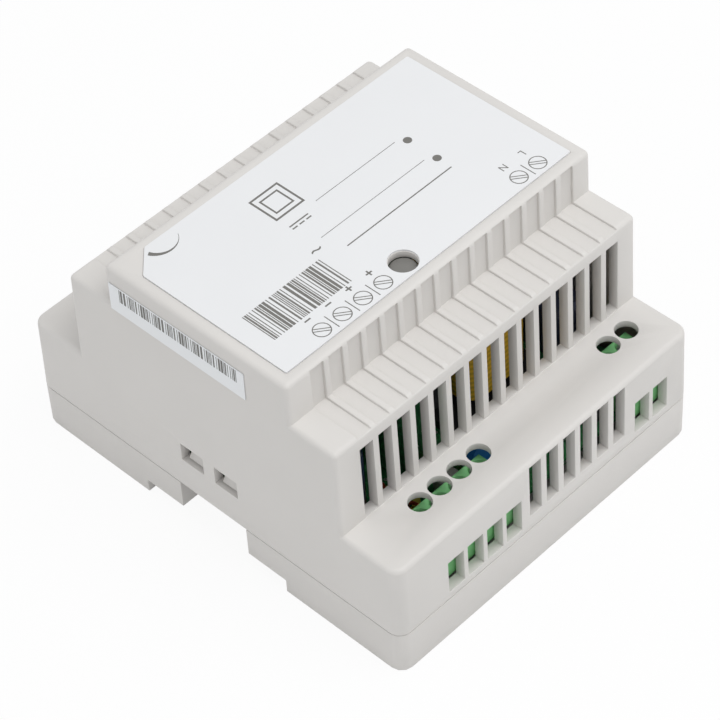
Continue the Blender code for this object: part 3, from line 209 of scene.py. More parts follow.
class StageSettings(bpy.types.PropertyGroup):
    """Camera and light."""

    azimuth: angle_prop("Azimuth", "Turn of the camera about the part", -43.43)
    elevation: angle_prop("Elevation", "Height angle of the camera", 46.344)
    roll: angle_prop("Roll", "Turn of the camera about its view", -3.868)
    lens: bpy.props.FloatProperty(name="Lens", description="Focal length in millimetres", default=146.07,
                                  unit="CAMERA")
    distance: size_prop("Distance", "From the camera to its target", 0.5286)
    target: bpy.props.FloatVectorProperty(name="Target", description="Point that the camera looks at",
                                          default=(-0.00539, -0.005577, 0.025), subtype="TRANSLATION",
                                          size=3)
    key_power: power_prop("Key light", "Power of the large top light", 2.02)
    fill_power: power_prop("Fill light", "Power of the front fill", 0.35)
    side_power: power_prop("Side light", "Power of the left side light", 0.45)
    sky: ratio_prop("Sky", "Strength of the even light all round", 0.615)


def case_sizes():
    return bpy.context.scene.supply_case


def colours():
    return bpy.context.scene.supply_colours


# Selecting and modelling


def focus(*pieces):
    """Selects these pieces alone, and makes the first of them active."""
    if bpy.context.mode != "OBJECT":
        bpy.ops.object.mode_set(mode="OBJECT")
    bpy.ops.object.select_all(action="DESELECT")
    for piece in pieces:
        piece.select_set(True)
    bpy.context.view_layer.objects.active = pieces[0] if pieces else None


def edit(piece, kind):
    """Opens a piece in edit mode, with nothing selected."""
    focus(piece)
    bpy.ops.object.mode_set(mode="EDIT")
    bpy.ops.mesh.select_mode(type=kind)
    bpy.ops.mesh.select_all(action="DESELECT")


def leave():
    bpy.ops.object.mode_set(mode="OBJECT")


def choose(piece, kind, test):
    """In edit mode, selects only the verts, edges or faces that pass a test, and says how many did."""
    mesh = bmesh.from_edit_mesh(piece.data)
    mesh.normal_update()
    bpy.ops.mesh.select_all(action="DESELECT")
    chosen = [item for item in getattr(mesh, kind) if test(item)]
    for item in chosen:
        item.select_set(True)
    mesh.select_flush_mode()
    bmesh.update_edit_mesh(piece.data)
    return len(chosen)


def near(a, b):
    return abs(a - b) < FINE


def apply_place(piece):
    focus(piece)
    bpy.ops.object.transform_apply(location=True, rotation=True, scale=True)


def new_box(name, low, high):
    focus()
    low, high = Vector(low), Vector(high)
    bpy.ops.mesh.primitive_cube_add(size=1, location=(low + high) / 2, scale=high - low)
    piece = bpy.context.object
    piece.name = name
    apply_place(piece)
    return piece


def new_rod(name, place, radius, low, high, sides=48):
    focus()
    middle = (place[0], place[1], (low + high) / 2)
    bpy.ops.mesh.primitive_cylinder_add(vertices=sides, radius=radius, depth=high - low, location=middle)
    piece = bpy.context.object
    piece.name = name
    apply_place(piece)
    return piece


def use_modifier(piece, kind, **settings):
    focus(piece)
    modifier = piece.modifiers.new(kind.lower(), kind)
    for key, value in settings.items():
        setattr(modifier, key, value)
    bpy.ops.object.modifier_apply(modifier=modifier.name)


def repeat(piece, count, step):
    use_modifier(piece, "ARRAY", count=count, use_relative_offset=False, use_constant_offset=True,
                 constant_offset_displace=step, use_merge_vertices=False)


def combine(piece, other, operation):
    use_modifier(piece, "BOOLEAN", object=other, operation=operation, solver="EXACT")
    bpy.data.objects.remove(other, do_unlink=True)


def carve(piece, cutter):
    combine(piece, cutter, "DIFFERENCE")


def weld_on(piece, other):
    combine(piece, other, "UNION")


def join(pieces):
    focus(*pieces)
    bpy.ops.object.join()
    return bpy.context.object


def mirrored(piece, name):
    """A copy on the other side of the middle, across Y, with its faces turned out again."""
    focus(piece)
    bpy.ops.object.duplicate()
    copy = bpy.context.object
    copy.name = name
    copy.scale.y = -1
    apply_place(copy)
    edit(copy, "FACE")
    bpy.ops.mesh.select_all(action="SELECT")
    bpy.ops.mesh.normals_make_consistent(inside=False)
    leave()
    return copy


def round_edges(piece, radius, segments, test):
    edit(piece, "EDGE")
    if choose(piece, "edges", test):
        bpy.ops.mesh.bevel(offset=radius, segments=segments, profile=0.5, affect="EDGES",
                           clamp_overlap=True)
    leave()


def ease_edges(piece, width, segments):
    """Rounds every edge that turns sharply."""
    use_modifier(piece, "BEVEL", width=width, segments=segments, limit_method="ANGLE",
                 angle_limit=EASED_TURN, harden_normals=False, use_clamp_overlap=True)


def trim(piece, place, outward):
    """Cuts off all that lies past a plane, and closes the cut."""
    edit(piece, "FACE")
    bpy.ops.mesh.select_all(action="SELECT")
    bpy.ops.mesh.bisect(plane_co=place, plane_no=outward, use_fill=True, clear_outer=True)
    leave()


def is_convex(edge):
    return len(edge.link_faces) == 2 and edge.calc_face_angle_signed(0) > OUTER_TURN


def shade(piece):
    focus(piece)
    bpy.ops.object.shade_smooth_by_angle(angle=SMOOTH_TURN)


def dress(piece, material, body, slot, *nodes):
    """Gives a finished piece its material and its body, and hides the CAD nodes that it stands for; the
    slot is not used.
    """
    piece.data.materials.clear()
    piece.data.materials.append(material)
    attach(piece, body)
    if nodes:
        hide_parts(*nodes)


# Shader maths


class Wire:
    """A socket whose arithmetic adds Math nodes."""

    def __init__(self, paint, socket):
        self.paint = paint
        self.socket = socket

    def math(self, operation, first, second):
        return self.paint.node("ShaderNodeMath", {"operation": operation}, {0: first, 1: second})

    def __add__(self, other):
        return self.math("ADD", self, other)

    def __radd__(self, other):
        return self.math("ADD", other, self)

    def __sub__(self, other):
        return self.math("SUBTRACT", self, other)

    def __rsub__(self, other):
        return self.math("SUBTRACT", other, self)

    def __mul__(self, other):
        return self.math("MULTIPLY", self, other)

    def __rmul__(self, other):
        return self.math("MULTIPLY", other, self)

    def __gt__(self, other):
        return self.math("GREATER_THAN", self, other)

    def __lt__(self, other):
        return self.math("LESS_THAN", self, other)


class Paint:
    """One material and the nodes that feed its shader."""

    def __init__(self, name, holder=None):
        self.material = holder or bpy.data.materials.new(name)
        self.material.use_nodes = True
        self.tree = self.material.node_tree
        self.shader = self.tree.nodes.get("Principled BSDF")

    def node(self, kind, settings=None, sockets=None, out=0):
        made = self.tree.nodes.new(kind)
        for key, value in (settings or {}).items():
            setattr(made, key, value)
        for key, value in (sockets or {}).items():
            self.feed(made.inputs[key], value)
        return Wire(self, made.outputs[out])

    def feed(self, socket, value):
        if isinstance(value, Wire):
            self.tree.links.new(value.socket, socket)
        elif socket.type == "RGBA" and len(value) == 3:
            socket.default_value = (*value, 1)
        else:
            socket.default_value = value

    def set(self, **sockets):
        for key, value in sockets.items():
            self.feed(self.shader.inputs[key.replace("_", " ")], value)

    def place(self):
        return self.node("ShaderNodeTexCoord", out="Object")

    def seen(self):
        """1 on what is seen straight, mirrored or through glass, and 0 where a surface is only lit."""
        path = self.tree.nodes.new("ShaderNodeLightPath")
        camera, mirror, glass = (Wire(self, path.outputs[f"Is {kind} Ray"])
                                 for kind in ("Camera", "Glossy", "Transmission"))
        return camera + mirror + glass

    def axis(self, name):
        return self.node("ShaderNodeSeparateXYZ", None, {0: self.place()}, "XYZ".index(name))

    def noise(self, scale, detail=2.0, roughness=0.5, stretch=None):
        where = self.place()
        if stretch:
            where = self.node("ShaderNodeMapping", None, {"Vector": where, "Scale": stretch})
        sockets = {"Vector": where, "Scale": scale, "Detail": detail, "Roughness": roughness}
        return self.node("ShaderNodeTexNoise", None, sockets)

    def mix(self, factor, first, second):
        settings = {"data_type": "RGBA"}
        return self.node("ShaderNodeMix", settings, {"Factor": factor, 6: first, 7: second}, 2)

    def between(self, value, low, high):
        """A value from 0 to 1 stretched to run from low to high."""
        return value * (high - low) + low

    def bump(self, height, distance, strength=1.0):
        sockets = {"Height": height, "Distance": distance, "Strength": strength}
        return self.node("ShaderNodeBump", None, sockets)


def tinted(colour, factor):
    return tuple(min(1.0, channel * factor) for channel in colour)


def case_plastic(name, colour, gloss=0.50):
    """Fine spark-textured plastic with a faint cloudiness."""
    paint = Paint(name)
    cloud = paint.noise(scale=60, detail=3)
    grain = paint.noise(scale=5200, detail=2, roughness=0.6)
    paint.set(Base_Color=paint.mix(cloud, tinted(colour, 0.975), tinted(colour, 1.025)),
              Roughness=paint.between(grain, gloss - 0.07, gloss + 0.09),
              Normal=paint.bump(grain, distance=0.00002, strength=0.35))
    return paint.material


def satin_film(name, colour, gloss=0.38):
    """Printed film or paper with a faint tooth."""
    paint = Paint(name)
    tooth = paint.noise(scale=2600, detail=3, roughness=0.6)
    cloud = paint.noise(scale=90, detail=2)
    paint.set(Base_Color=paint.mix(cloud, tinted(colour, 0.985), tinted(colour, 1.01)),
              Roughness=paint.between(tooth, gloss - 0.05, gloss + 0.08),
              Normal=paint.bump(tooth, distance=0.000008, strength=0.25))
    return paint.material


def glossy_moulding(name, colour, gloss=0.32, cloudiness=0.05):
    """Smooth moulded or dipped plastic with slight flow marks."""
    paint = Paint(name)
    flow = paint.noise(scale=350, detail=3, roughness=0.5)
    pits = paint.noise(scale=3800, detail=2, roughness=0.6)
    paint.set(Base_Color=paint.mix(flow, tinted(colour, 1 - cloudiness), tinted(colour, 1 + cloudiness)),
              Roughness=paint.between(pits, gloss - 0.06, gloss + 0.08),
              Normal=paint.bump(pits, distance=0.00001, strength=0.25))
    return paint.material


def brushed_metal(name, colour, gloss=0.32, stretch=(1, 1, 12)):
    """Bare or plated metal with directional scratches."""
    paint = Paint(name)
    scratch = paint.noise(scale=900, detail=4, roughness=0.65, stretch=stretch)
    paint.set(Base_Color=paint.mix(scratch, tinted(colour, 0.86), tinted(colour, 1.08)),
              Roughness=paint.between(scratch, gloss - 0.10, gloss + 0.14), Metallic=1.0,
              Normal=paint.bump(scratch, distance=0.00001, strength=0.3))
    return paint.material


def solder_mask(name, colour):
    """Green board with lighter tracks and tinned pads."""
    paint = Paint(name)
    cell = {"Vector": paint.place(), "Scale": 420.0}
    tracks = paint.node("ShaderNodeTexVoronoi", {"feature": "DISTANCE_TO_EDGE"}, cell)
    pads = paint.node("ShaderNodeTexVoronoi", {"feature": "F1"}, {"Vector": paint.place(), "Scale": 380.0})
    track = tracks < 0.06
    pad = pads < 0.16
    green = paint.mix(track, colour, tinted(colour, 1.5))
    paint.set(Base_Color=paint.mix(pad, green, TIN),
              Roughness=paint.between(pad, 0.35, 0.28), Metallic=pad * 0.9,
              Normal=paint.bump(track + pad, distance=0.00004, strength=0.5))
    return paint.material


def wound_tape(name, colour):
    """Polyester tape wrapped in overlapping layers."""
    paint = Paint(name)
    sockets = {"Vector": paint.place(), "Scale": 260.0, "Distortion": 0.6, "Detail": 2.0}
    layers = paint.node("ShaderNodeTexWave", {"wave_type": "BANDS", "bands_direction": "Z"}, sockets, 1)
    crease = paint.noise(scale=700, detail=3, roughness=0.6)
    paint.set(Base_Color=paint.mix(layers, tinted(colour, 0.80), tinted(colour, 1.12)),
              Roughness=paint.between(crease, 0.22, 0.40),
              Normal=paint.bump(layers + crease * 0.5, distance=0.00004, strength=0.5))
    return paint.material


def enamelled_wire(name, colour):
    """Lacquered copper with fine streaks."""
    paint = Paint(name)
    streak = paint.noise(scale=1500, detail=3, roughness=0.6)
    paint.set(Base_Color=paint.mix(streak, tinted(colour, 0.75), tinted(colour, 1.25)), Metallic=0.55,
              Roughness=paint.between(streak, 0.22, 0.42),
              Normal=paint.bump(streak, distance=0.00001, strength=0.3))
    return paint.material


def capacitor_sleeve(name, colour, top_z):
    """Dark shrink sleeve with a bare scored end."""
    paint = Paint(name)
    end = paint.axis("Z") > top_z
    streak = paint.noise(scale=900, detail=3, roughness=0.6)
    sleeve = paint.mix(streak, tinted(colour, 0.8), tinted(colour, 1.2))
    paint.set(Base_Color=paint.mix(end, sleeve, STEEL), Metallic=end * 0.95,
              Roughness=paint.between(streak, 0.24, 0.40),
              Normal=paint.bump(streak, distance=0.00001, strength=0.25))
    return paint.material


# Case shapes


def side_x(z):
    """Half the case's width at a height."""
    sizes = case_sizes()
    return COVER_HIGH.x - sizes.side_draft * (z - sizes.seam_z)


def drafted(half, foot, z):
    """Half of a drafted body's depth at a height."""
    return half - case_sizes().end_draft * (z - foot)


def raise_strip(piece, half, low, high):
    """Splits the top of a block along the width, and pulls its middle strip up."""
    for y in (-half, half):
        edit(piece, "FACE")
        bpy.ops.mesh.select_all(action="SELECT")
        bpy.ops.mesh.bisect(plane_co=(0, y, 0), plane_no=(0, 1, 0))
        leave()
    edit(piece, "FACE")
    choose(piece, "faces", lambda f: f.normal.z > TOP_FACING and near(f.calc_center_median().z, low)
           and abs(f.calc_center_median().y) < half)
    bpy.ops.mesh.extrude_region_move(TRANSFORM_OT_translate={"value": (0, 0, high - low)})
    leave()


def squeeze(piece, z, factors, test=None):
    """Scales the points at one height about the middle."""
    edit(piece, "VERT")
    choose(piece, "verts", lambda v: near(v.co.z, z) and (test is None or test(v.co)))
    bpy.ops.transform.resize(value=factors, center_override=(0, 0, z))
    leave()


def stepped_block(name, inset, side_inset, drop, bottom):
    """The stepped and drafted body, drawn in by its walls where it is the hollow."""
    sizes = case_sizes()
    shelf, step, front = sizes.shelf_z - drop, sizes.step_z - drop, COVER_HIGH.z - drop
    lower = COVER_HIGH.y - inset
    louvre = drafted(sizes.louvre_height / 2, sizes.shelf_z, shelf) - inset
    nose = drafted(sizes.nose_height / 2, sizes.step_z, step) - inset
    wide = side_x(bottom) - side_inset
    piece = new_box(name, (-wide, -lower, bottom), (wide, lower, shelf))
    raise_strip(piece, louvre, shelf, step)
    raise_strip(piece, nose, step, front)
    edit(piece, "FACE")
    bpy.ops.mesh.select_all(action="SELECT")
    bpy.ops.mesh.dissolve_limited(angle_limit=FLAT_BLOCK)
    leave()
    for z in (shelf, step, front):
        squeeze(piece, z, ((side_x(z) - side_inset) / wide, 1, 1))
    squeeze(piece, shelf, (1, (lower - sizes.end_draft * (shelf - bottom)) / lower, 1),
            lambda co: abs(co.y) > louvre + FINE)
    squeeze(piece, step, (1, (louvre - sizes.end_draft * (step - shelf)) / louvre, 1),
            lambda co: abs(co.y) > nose + FINE)
    squeeze(piece, front, (1, (nose - sizes.end_draft * (front - step)) / nose, 1))
    return piece


def across(low_y, high_y):
    """The same span on the near and on the far end."""
    return ((-high_y, -low_y), (low_y, high_y))


def slot_row(name, first, width, count, pitch, y, z):
    piece = new_box(name, (first, y[0], z[0]), (first + width, y[1], z[1]))
    if count > 1:
        repeat(piece, count, (pitch, 0, 0))
    return piece


class SUPPLY_OT_cover(bpy.types.Operator):
    """Models the stepped cover with its louvres, ribs, windows and holes"""

    bl_idname = "supply.cover"
    bl_label = "Top cover"

    def execute(self, context):
        sizes = case_sizes()
        bottom = COVER_LOW.z - sizes.seam_close
        cover = stepped_block("cover_shell", 0, 0, 0, bottom)
        louvre = sizes.louvre_height / 2
        round_edges(cover, sizes.corner_radius, CORNER_STEPS,
                    lambda e: all(abs(v.co.y) > louvre + PAST for v in e.verts)
                    and abs(e.verts[0].co.z - e.verts[1].co.z) > PAST)
        round_edges(cover, sizes.edge_radius, EDGE_STEPS,
                    lambda e: is_convex(e) and max(v.co.z for v in e.verts) > bottom + PAST)
        carve(cover, stepped_block("hollow", sizes.end_wall, sizes.side_wall, sizes.roof,
                                   bottom - PAST))
        self.cut_panels(cover)
        self.cut_slots(cover)
        self.cut_holes(cover)
        carve(cover, label_plate("bed_cutter", sizes.label_gap, COVER_HIGH.z - sizes.label_bed,
                                 COVER_HIGH.z + PAST))
        ease_edges(cover, sizes.crisp_edge, CRISP_STEPS)
        shade(cover)
        dress(cover, case_plastic("case_plastic", colours().case), "case", "case_plastic", "top_cover")
        return {"FINISHED"}

    def cut_panels(self, cover):
        """Lowers the panels between the ribs on both upper shelves and nose walls."""
        sizes = case_sizes()
        edge = sizes.louvre_height / 2 + PAST
        top = COVER_HIGH.z - sizes.rib_rim
        foot = sizes.step_z - sizes.rib_rise
        wall = sizes.nose_height / 2 - sizes.rib_rise
        cutter = new_box("panel_cutter", (sizes.louvre_first, wall, foot),
                         (sizes.louvre_first + sizes.louvre_width, edge, top))
        edit(cutter, "VERT")
        choose(cutter, "verts", lambda v: near(v.co.z, top) and near(v.co.y, wall))
        lean = -sizes.end_draft * (top - sizes.step_z)
        bpy.ops.transform.translate(value=(0, lean, 0))
        leave()
        repeat(cutter, sizes.louvre_count, (sizes.louvre_pitch, 0, 0))
        carve(cover, mirrored(cutter, "far_panel_cutter"))
        carve(cover, cutter)
        starts = [sizes.louvre_first + i * sizes.louvre_pitch for i in range(sizes.louvre_count)]
        rims = starts + [start + sizes.louvre_width for start in starts]
        round_edges(cover, sizes.rib_edge, RIB_STEPS,
                    lambda e: is_convex(e) and min(v.co.z for v in e.verts) > foot - FINE
                    and any(all(near(v.co.x, rim) for v in e.verts) for rim in rims))

    def cut_slots(self, cover):
        """Cuts louvres, lower vents and wire windows through the end walls."""
        sizes = case_sizes()
        louvre = sizes.louvre_height / 2
        tall = (sizes.shelf_z + sizes.louvre_sill, sizes.step_z - sizes.louvre_top)
        for y in across(louvre - sizes.end_wall - PAST, louvre + PAST):
            carve(cover, slot_row("louvre_cutter", sizes.louvre_first, sizes.louvre_width,
                                  sizes.louvre_count, sizes.louvre_pitch, y, tall))
        walls = across(COVER_HIGH.y - sizes.end_wall - PAST, COVER_HIGH.y + PAST)
        for y in walls:
            carve(cover, slot_row("vent_cutter", sizes.vent_first, sizes.vent_width, sizes.vent_count,
                                  sizes.louvre_pitch, y, (sizes.vent_low, sizes.vent_high)))
        for pole in POLES:
            left = pole.x + sizes.window_shift - sizes.window_width / 2
            carve(cover, slot_row("window_cutter", left, sizes.window_width, 1, 0, walls[0],
                                  (sizes.window_low, sizes.window_high)))

    def cut_holes(self, cover):
        """Cuts the screwdriver, trimmer and light holes and the snap windows."""
        sizes = case_sizes()
        shelf = (sizes.shelf_z - sizes.roof - PAST, sizes.shelf_z + PAST)
        for pole in POLES:
            carve(cover, new_rod("hole_cutter", pole, sizes.screw_hole / 2, *shelf))
        carve(cover, new_rod("hole_cutter", ROTOR, sizes.trimmer_hole / 2, *shelf))
        front = (COVER_HIGH.z - sizes.roof - PAST, COVER_HIGH.z + PAST)
        carve(cover, new_rod("hole_cutter", LIGHT, sizes.light_hole / 2, *front))
        for x in across(COVER_HIGH.x - sizes.side_wall - PAST, COVER_HIGH.x + PAST):
            for middle in (-sizes.snap_pitch / 2, sizes.snap_pitch / 2):
                carve(cover, new_box("snap_cutter", (x[0], middle - sizes.snap_length / 2, sizes.snap_low),
                                     (x[1], middle + sizes.snap_length / 2, sizes.snap_high)))


def label_plate(name, grow, low, high):
    """The label's plate, grown by a gap, with one corner cut off and every corner rounded."""
    left, far_y = LABEL_LOW.x - grow, LABEL_HIGH.y + grow
    plate = new_box(name, (left, LABEL_LOW.y - grow, low), (LABEL_HIGH.x + grow, far_y, high))
    cut = LABEL_CHAMFER + grow * (2 - math.sqrt(2))
    trim(plate, (left + cut, far_y, low), (-1, 1, 0))
    round_edges(plate, LABEL_CORNER + grow, LABEL_CORNER_STEPS,
                lambda e: abs(e.verts[0].co.z - e.verts[1].co.z) > FINE)
    return plate


def refined_copy(node, name, width, segments=CRISP_STEPS):
    """A copy of a CAD solid with its triangles merged into faces and its edges eased."""
    focus()
    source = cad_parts[node]
    piece = bpy.data.objects.new(name, source.data.copy())
    bpy.context.scene.collection.objects.link(piece)
    edit(piece, "VERT")
    bpy.ops.mesh.select_all(action="SELECT")
    bpy.ops.mesh.remove_doubles(threshold=MERGE)
    bpy.ops.mesh.dissolve_limited(angle_limit=FLAT_COPY)
    leave()
    ease_edges(piece, width, segments)
    shade(piece)
    return piece


class SUPPLY_OT_base(bpy.types.Operator):
    """Finishes the base tray and the sliding rail latch"""

    bl_idname = "supply.base"
    bl_label = "Base tray and latch"

    def execute(self, context):
        tray = refined_copy("base_tray", "tray_shell", TRAY_EASE)
        dress(tray, case_plastic("tray_plastic", tinted(colours().case, TRAY_TINT)), "case", "case_plastic",
              "base_tray")
        latch = refined_copy("din_latch", "rail_latch", LATCH_EASE)
        black = case_plastic("latch_plastic", LATCH_BLACK, gloss=0.42)
        dress(latch, black, "latch", "latch_plastic", "din_latch")
        return {"FINISHED"}


# Labels


def bar_spans(start, end, step):
    """Spans of a row of bars, whose widths and gaps of 1 to 3 steps follow two simple rules."""
    spans = []
    count = 0
    while start < end:
        width = step * (1 + (count * count // 3 + count) % 3)
        spans.append((start, start + width))
        start += width + step * (1 + (count * count // 4) % 3)
        count += 1
    return spans


class PrintBed:
    """Collects thin printed marks on the front label, each lying on the film."""

    DOT_SIDES = 32
    RING_SIDES = 48
    ARC_SIDES = 96

    def __init__(self, low, thickness):
        self.low = low
        self.high = low + thickness
        self.marks = []

    def bar(self, x, y):
        self.marks.append(new_box("mark", (x[0], y[0], self.low), (x[1], y[1], self.high)))

    def turned_bar(self, middle, length, width, angle):
        bar = new_box("mark", (-length / 2, -width / 2, self.low), (length / 2, width / 2, self.high))
        bar.rotation_euler.z = angle
        bar.location = (*middle, 0)
        apply_place(bar)
        self.marks.append(bar)

    def dot(self, middle, radius):
        self.marks.append(new_rod("mark", middle, radius, self.low, self.high, self.DOT_SIDES))

    def ring(self, middle, radius, line):
        outer = new_rod("mark", middle, radius, self.low, self.high, self.RING_SIDES)
        carve(outer, new_rod("mark_bore", middle, radius - line, self.low - PAST, self.high + PAST,
                             self.RING_SIDES))
        self.marks.append(outer)

    def frame(self, low, high, line):
        self.bar((low[0], high[0]), (low[1], low[1] + line))
        self.bar((low[0], high[0]), (high[1] - line, high[1]))
        self.bar((low[0], low[0] + line), (low[1] + line, high[1] - line))
        self.bar((high[0] - line, high[0]), (low[1] + line, high[1] - line))

    def crescent(self, middle, radius, thick, thin, start, end):
        """An arc between two circles that runs from thick at its start to thin at its end."""
        shift = (thick - thin) / (1 - math.cos(end - start))
        outer = radius + (thin + shift) / 2
        mark = new_rod("mark", middle, outer, self.low, self.high, self.ARC_SIDES)
        bore = Vector(middle) + shift * Vector((math.cos(end), math.sin(end)))
        carve(mark, new_rod("mark_bore", bore, outer - thin - shift, self.low - PAST, self.high + PAST,
                            self.ARC_SIDES))
        trim(mark, (*middle, 0), (math.sin(start), -math.cos(start), 0))
        trim(mark, (*middle, 0), (-math.sin(end), math.cos(end), 0))
        self.marks.append(mark)

    def word(self, text, place, size):
        """Upright as the label is read: right is -X and up is -Y."""
        focus()
        bpy.ops.object.text_add()
        piece = bpy.context.object
        piece.data.body = text
        piece.data.size = size
        piece.data.align_x = "CENTER"
        piece.data.align_y = "CENTER"
        piece.data.extrude = (self.high - self.low) / 2
        bpy.ops.object.convert(target="MESH")
        piece = bpy.context.object
        piece.rotation_euler = (0, 0, math.pi)
        piece.location = (*place, (self.low + self.high) / 2)
        apply_place(piece)
        self.marks.append(piece)

    def done(self, name):
        piece = join(self.marks)
        piece.name = name
        return piece


class SUPPLY_OT_front_label(bpy.types.Operator):
    """Lays the front label and its plain symbols"""

    bl_idname = "supply.front_label"
    bl_label = "Front label"

    # Thickness of the print, and the share of the bed's depth that the film fills
    INK = 0.000015
    BED_FILL = 0.9

    # Drawn screw heads with their slots, moved along the row from the real ones, and the dividers between
    LINE = 0.00019
    ROW_Y = -0.0174
    ROW_SHIFT = -0.0010
    HEAD_RADIUS = 0.00172
    SLOT_LENGTH = 1.8 * HEAD_RADIUS
    SLOT_HALF = 0.00030
    SLOT_SLANT = math.radians(-38)
    DIVIDER_Y = (ROW_Y - 0.0017, ROW_Y + 0.0019)
    LAST_OF_BLOCK = (3, 5)

    # Signs over the screw heads: minus, but plus or a letter at these places in the row
    SIGN_Y = -0.0140
    SIGN_REACH = 0.0007
    SIGN_LINE = 0.00016
    PLUS = (2, 3)
    LETTERS = {4: "N", 5: "L"}
    LETTER_Y = SIGN_Y + 0.0004
    LETTER_SIZE = 0.0021

    # Double square: its middle, then the side and the line of each square
    SQUARE_MIDDLE = Vector((-0.00765, 0.01055))
    SQUARES = ((0.0071, 0.00042), (0.0045, 0.00036))

    # A rule, and two rows of a dot and a thin line, each with its height and its line's end
    RULE = ((-0.0075, 0.0191), (-0.0067, -0.00645))
    ROWS = ((0.0041, -0.0030), (-0.0031, -0.0090))
    DOT_X = 0.0191
    DOT_RADIUS = 0.00085
    THIN_START = 0.0172
    THIN_LIFT = 0.0013
    THIN_LINE = 0.00012

    # Supply signs: a wave, and a bar over three dashes
    WAVE_PLACE = (-0.0118, -0.0034)
    WAVE_SIZE = 0.0042
    DIRECT_BAR = ((-0.0108, -0.0062), (0.0041, 0.0044))
    DASHES = 3
    DASH_PITCH = 0.0017
    DASH_LENGTH = 0.0012
    DASH_Y = (0.0033, 0.0036)

    # Arc beside the trimmer, from its thick to its thin end
    ARC_Y = 0.0197
    ARC_RADIUS = 0.0038
    ARC_THICK = 0.00085
    ARC_THIN = 0.00007
    ARC_ENDS = (math.radians(205), math.radians(335))

    # Row of plain bars
    BARS_X = (-0.0318, -0.0132)
    BARS_Y = (-0.0131, -0.0052)
    BAR_STEP = 0.00019

    def execute(self, context):
        sizes = case_sizes()
        low, high = COVER_HIGH.z - self.BED_FILL * sizes.label_bed, LABEL_HIGH.z
        film = label_plate("label_film", 0, low, high)
        hole = sizes.light_hole / 2 + sizes.label_hole_gap
        carve(film, new_rod("hole_cutter", LIGHT, hole, low - PAST, high + PAST))
        shade(film)
        dress(film, satin_film("label_film", colours().label), "case", "label_film", "front_label")
        bed = PrintBed(high, self.INK)
        self.terminal_marks(bed)
        self.rating_marks(bed)
        self.bar_row(bed)
        marks = bed.done("label_print")
        shade(marks)
        dress(marks, satin_film("label_ink", colours().ink, gloss=0.5), "case", "label_film")
        return {"FINISHED"}

    def terminal_marks(self, bed):
        """Screw heads, dividers and polarity over each terminal."""
        half_pitch = (POLES[1].x - POLES[0].x) / 2
        across_slot = Vector((-math.sin(self.SLOT_SLANT), math.cos(self.SLOT_SLANT))) * self.SLOT_HALF
        for place, pole in enumerate(POLES):
            x = pole.x + self.ROW_SHIFT
            head = Vector((x, self.ROW_Y))
            bed.ring(head, self.HEAD_RADIUS, self.LINE)
            for side in (-1, 1):
                bed.turned_bar(head + side * across_slot, self.SLOT_LENGTH, self.LINE, self.SLOT_SLANT)
            if place not in self.LAST_OF_BLOCK:
                divider = x + half_pitch
                bed.bar((divider - self.LINE / 2, divider + self.LINE / 2), self.DIVIDER_Y)
            self.sign(bed, place, x)

    def sign(self, bed, place, x):
        """Minus, plus or a letter over one terminal."""
        if place in self.LETTERS:
            bed.word(self.LETTERS[place], (x, self.LETTER_Y), self.LETTER_SIZE)
            return
        reach, line, y = self.SIGN_REACH, self.SIGN_LINE, self.SIGN_Y
        bed.bar((x - reach, x + reach), (y - line, y + line))
        if place in self.PLUS:
            bed.bar((x - line, x + line), (y + line + FINE, y + reach))
            bed.bar((x - line, x + line), (y - reach, y - line - FINE))

    def rating_marks(self, bed):
        """Plain supply symbols: double square, rule, dots, current signs and trimmer arc."""
        for side, line in self.SQUARES:
            reach = Vector((side, side)) / 2
            bed.frame(self.SQUARE_MIDDLE - reach, self.SQUARE_MIDDLE + reach, line)
        bed.bar(*self.RULE)
        for y, end in self.ROWS:
            bed.dot((self.DOT_X, y), self.DOT_RADIUS)
            foot = y + self.THIN_LIFT
            bed.bar((end, self.THIN_START), (foot, foot + self.THIN_LINE))
        bed.word("~", self.WAVE_PLACE, self.WAVE_SIZE)
        bed.bar(*self.DIRECT_BAR)
        for dash in range(self.DASHES):
            left = self.DIRECT_BAR[0][0] + dash * self.DASH_PITCH
            bed.bar((left, left + self.DASH_LENGTH), self.DASH_Y)
        bed.crescent((ROTOR.x, self.ARC_Y), self.ARC_RADIUS, self.ARC_THICK, self.ARC_THIN, *self.ARC_ENDS)

    def bar_row(self, bed):
        """A row of plain bars."""
        for span in bar_spans(*self.BARS_X, self.BAR_STEP):
            bed.bar(span, self.BARS_Y)


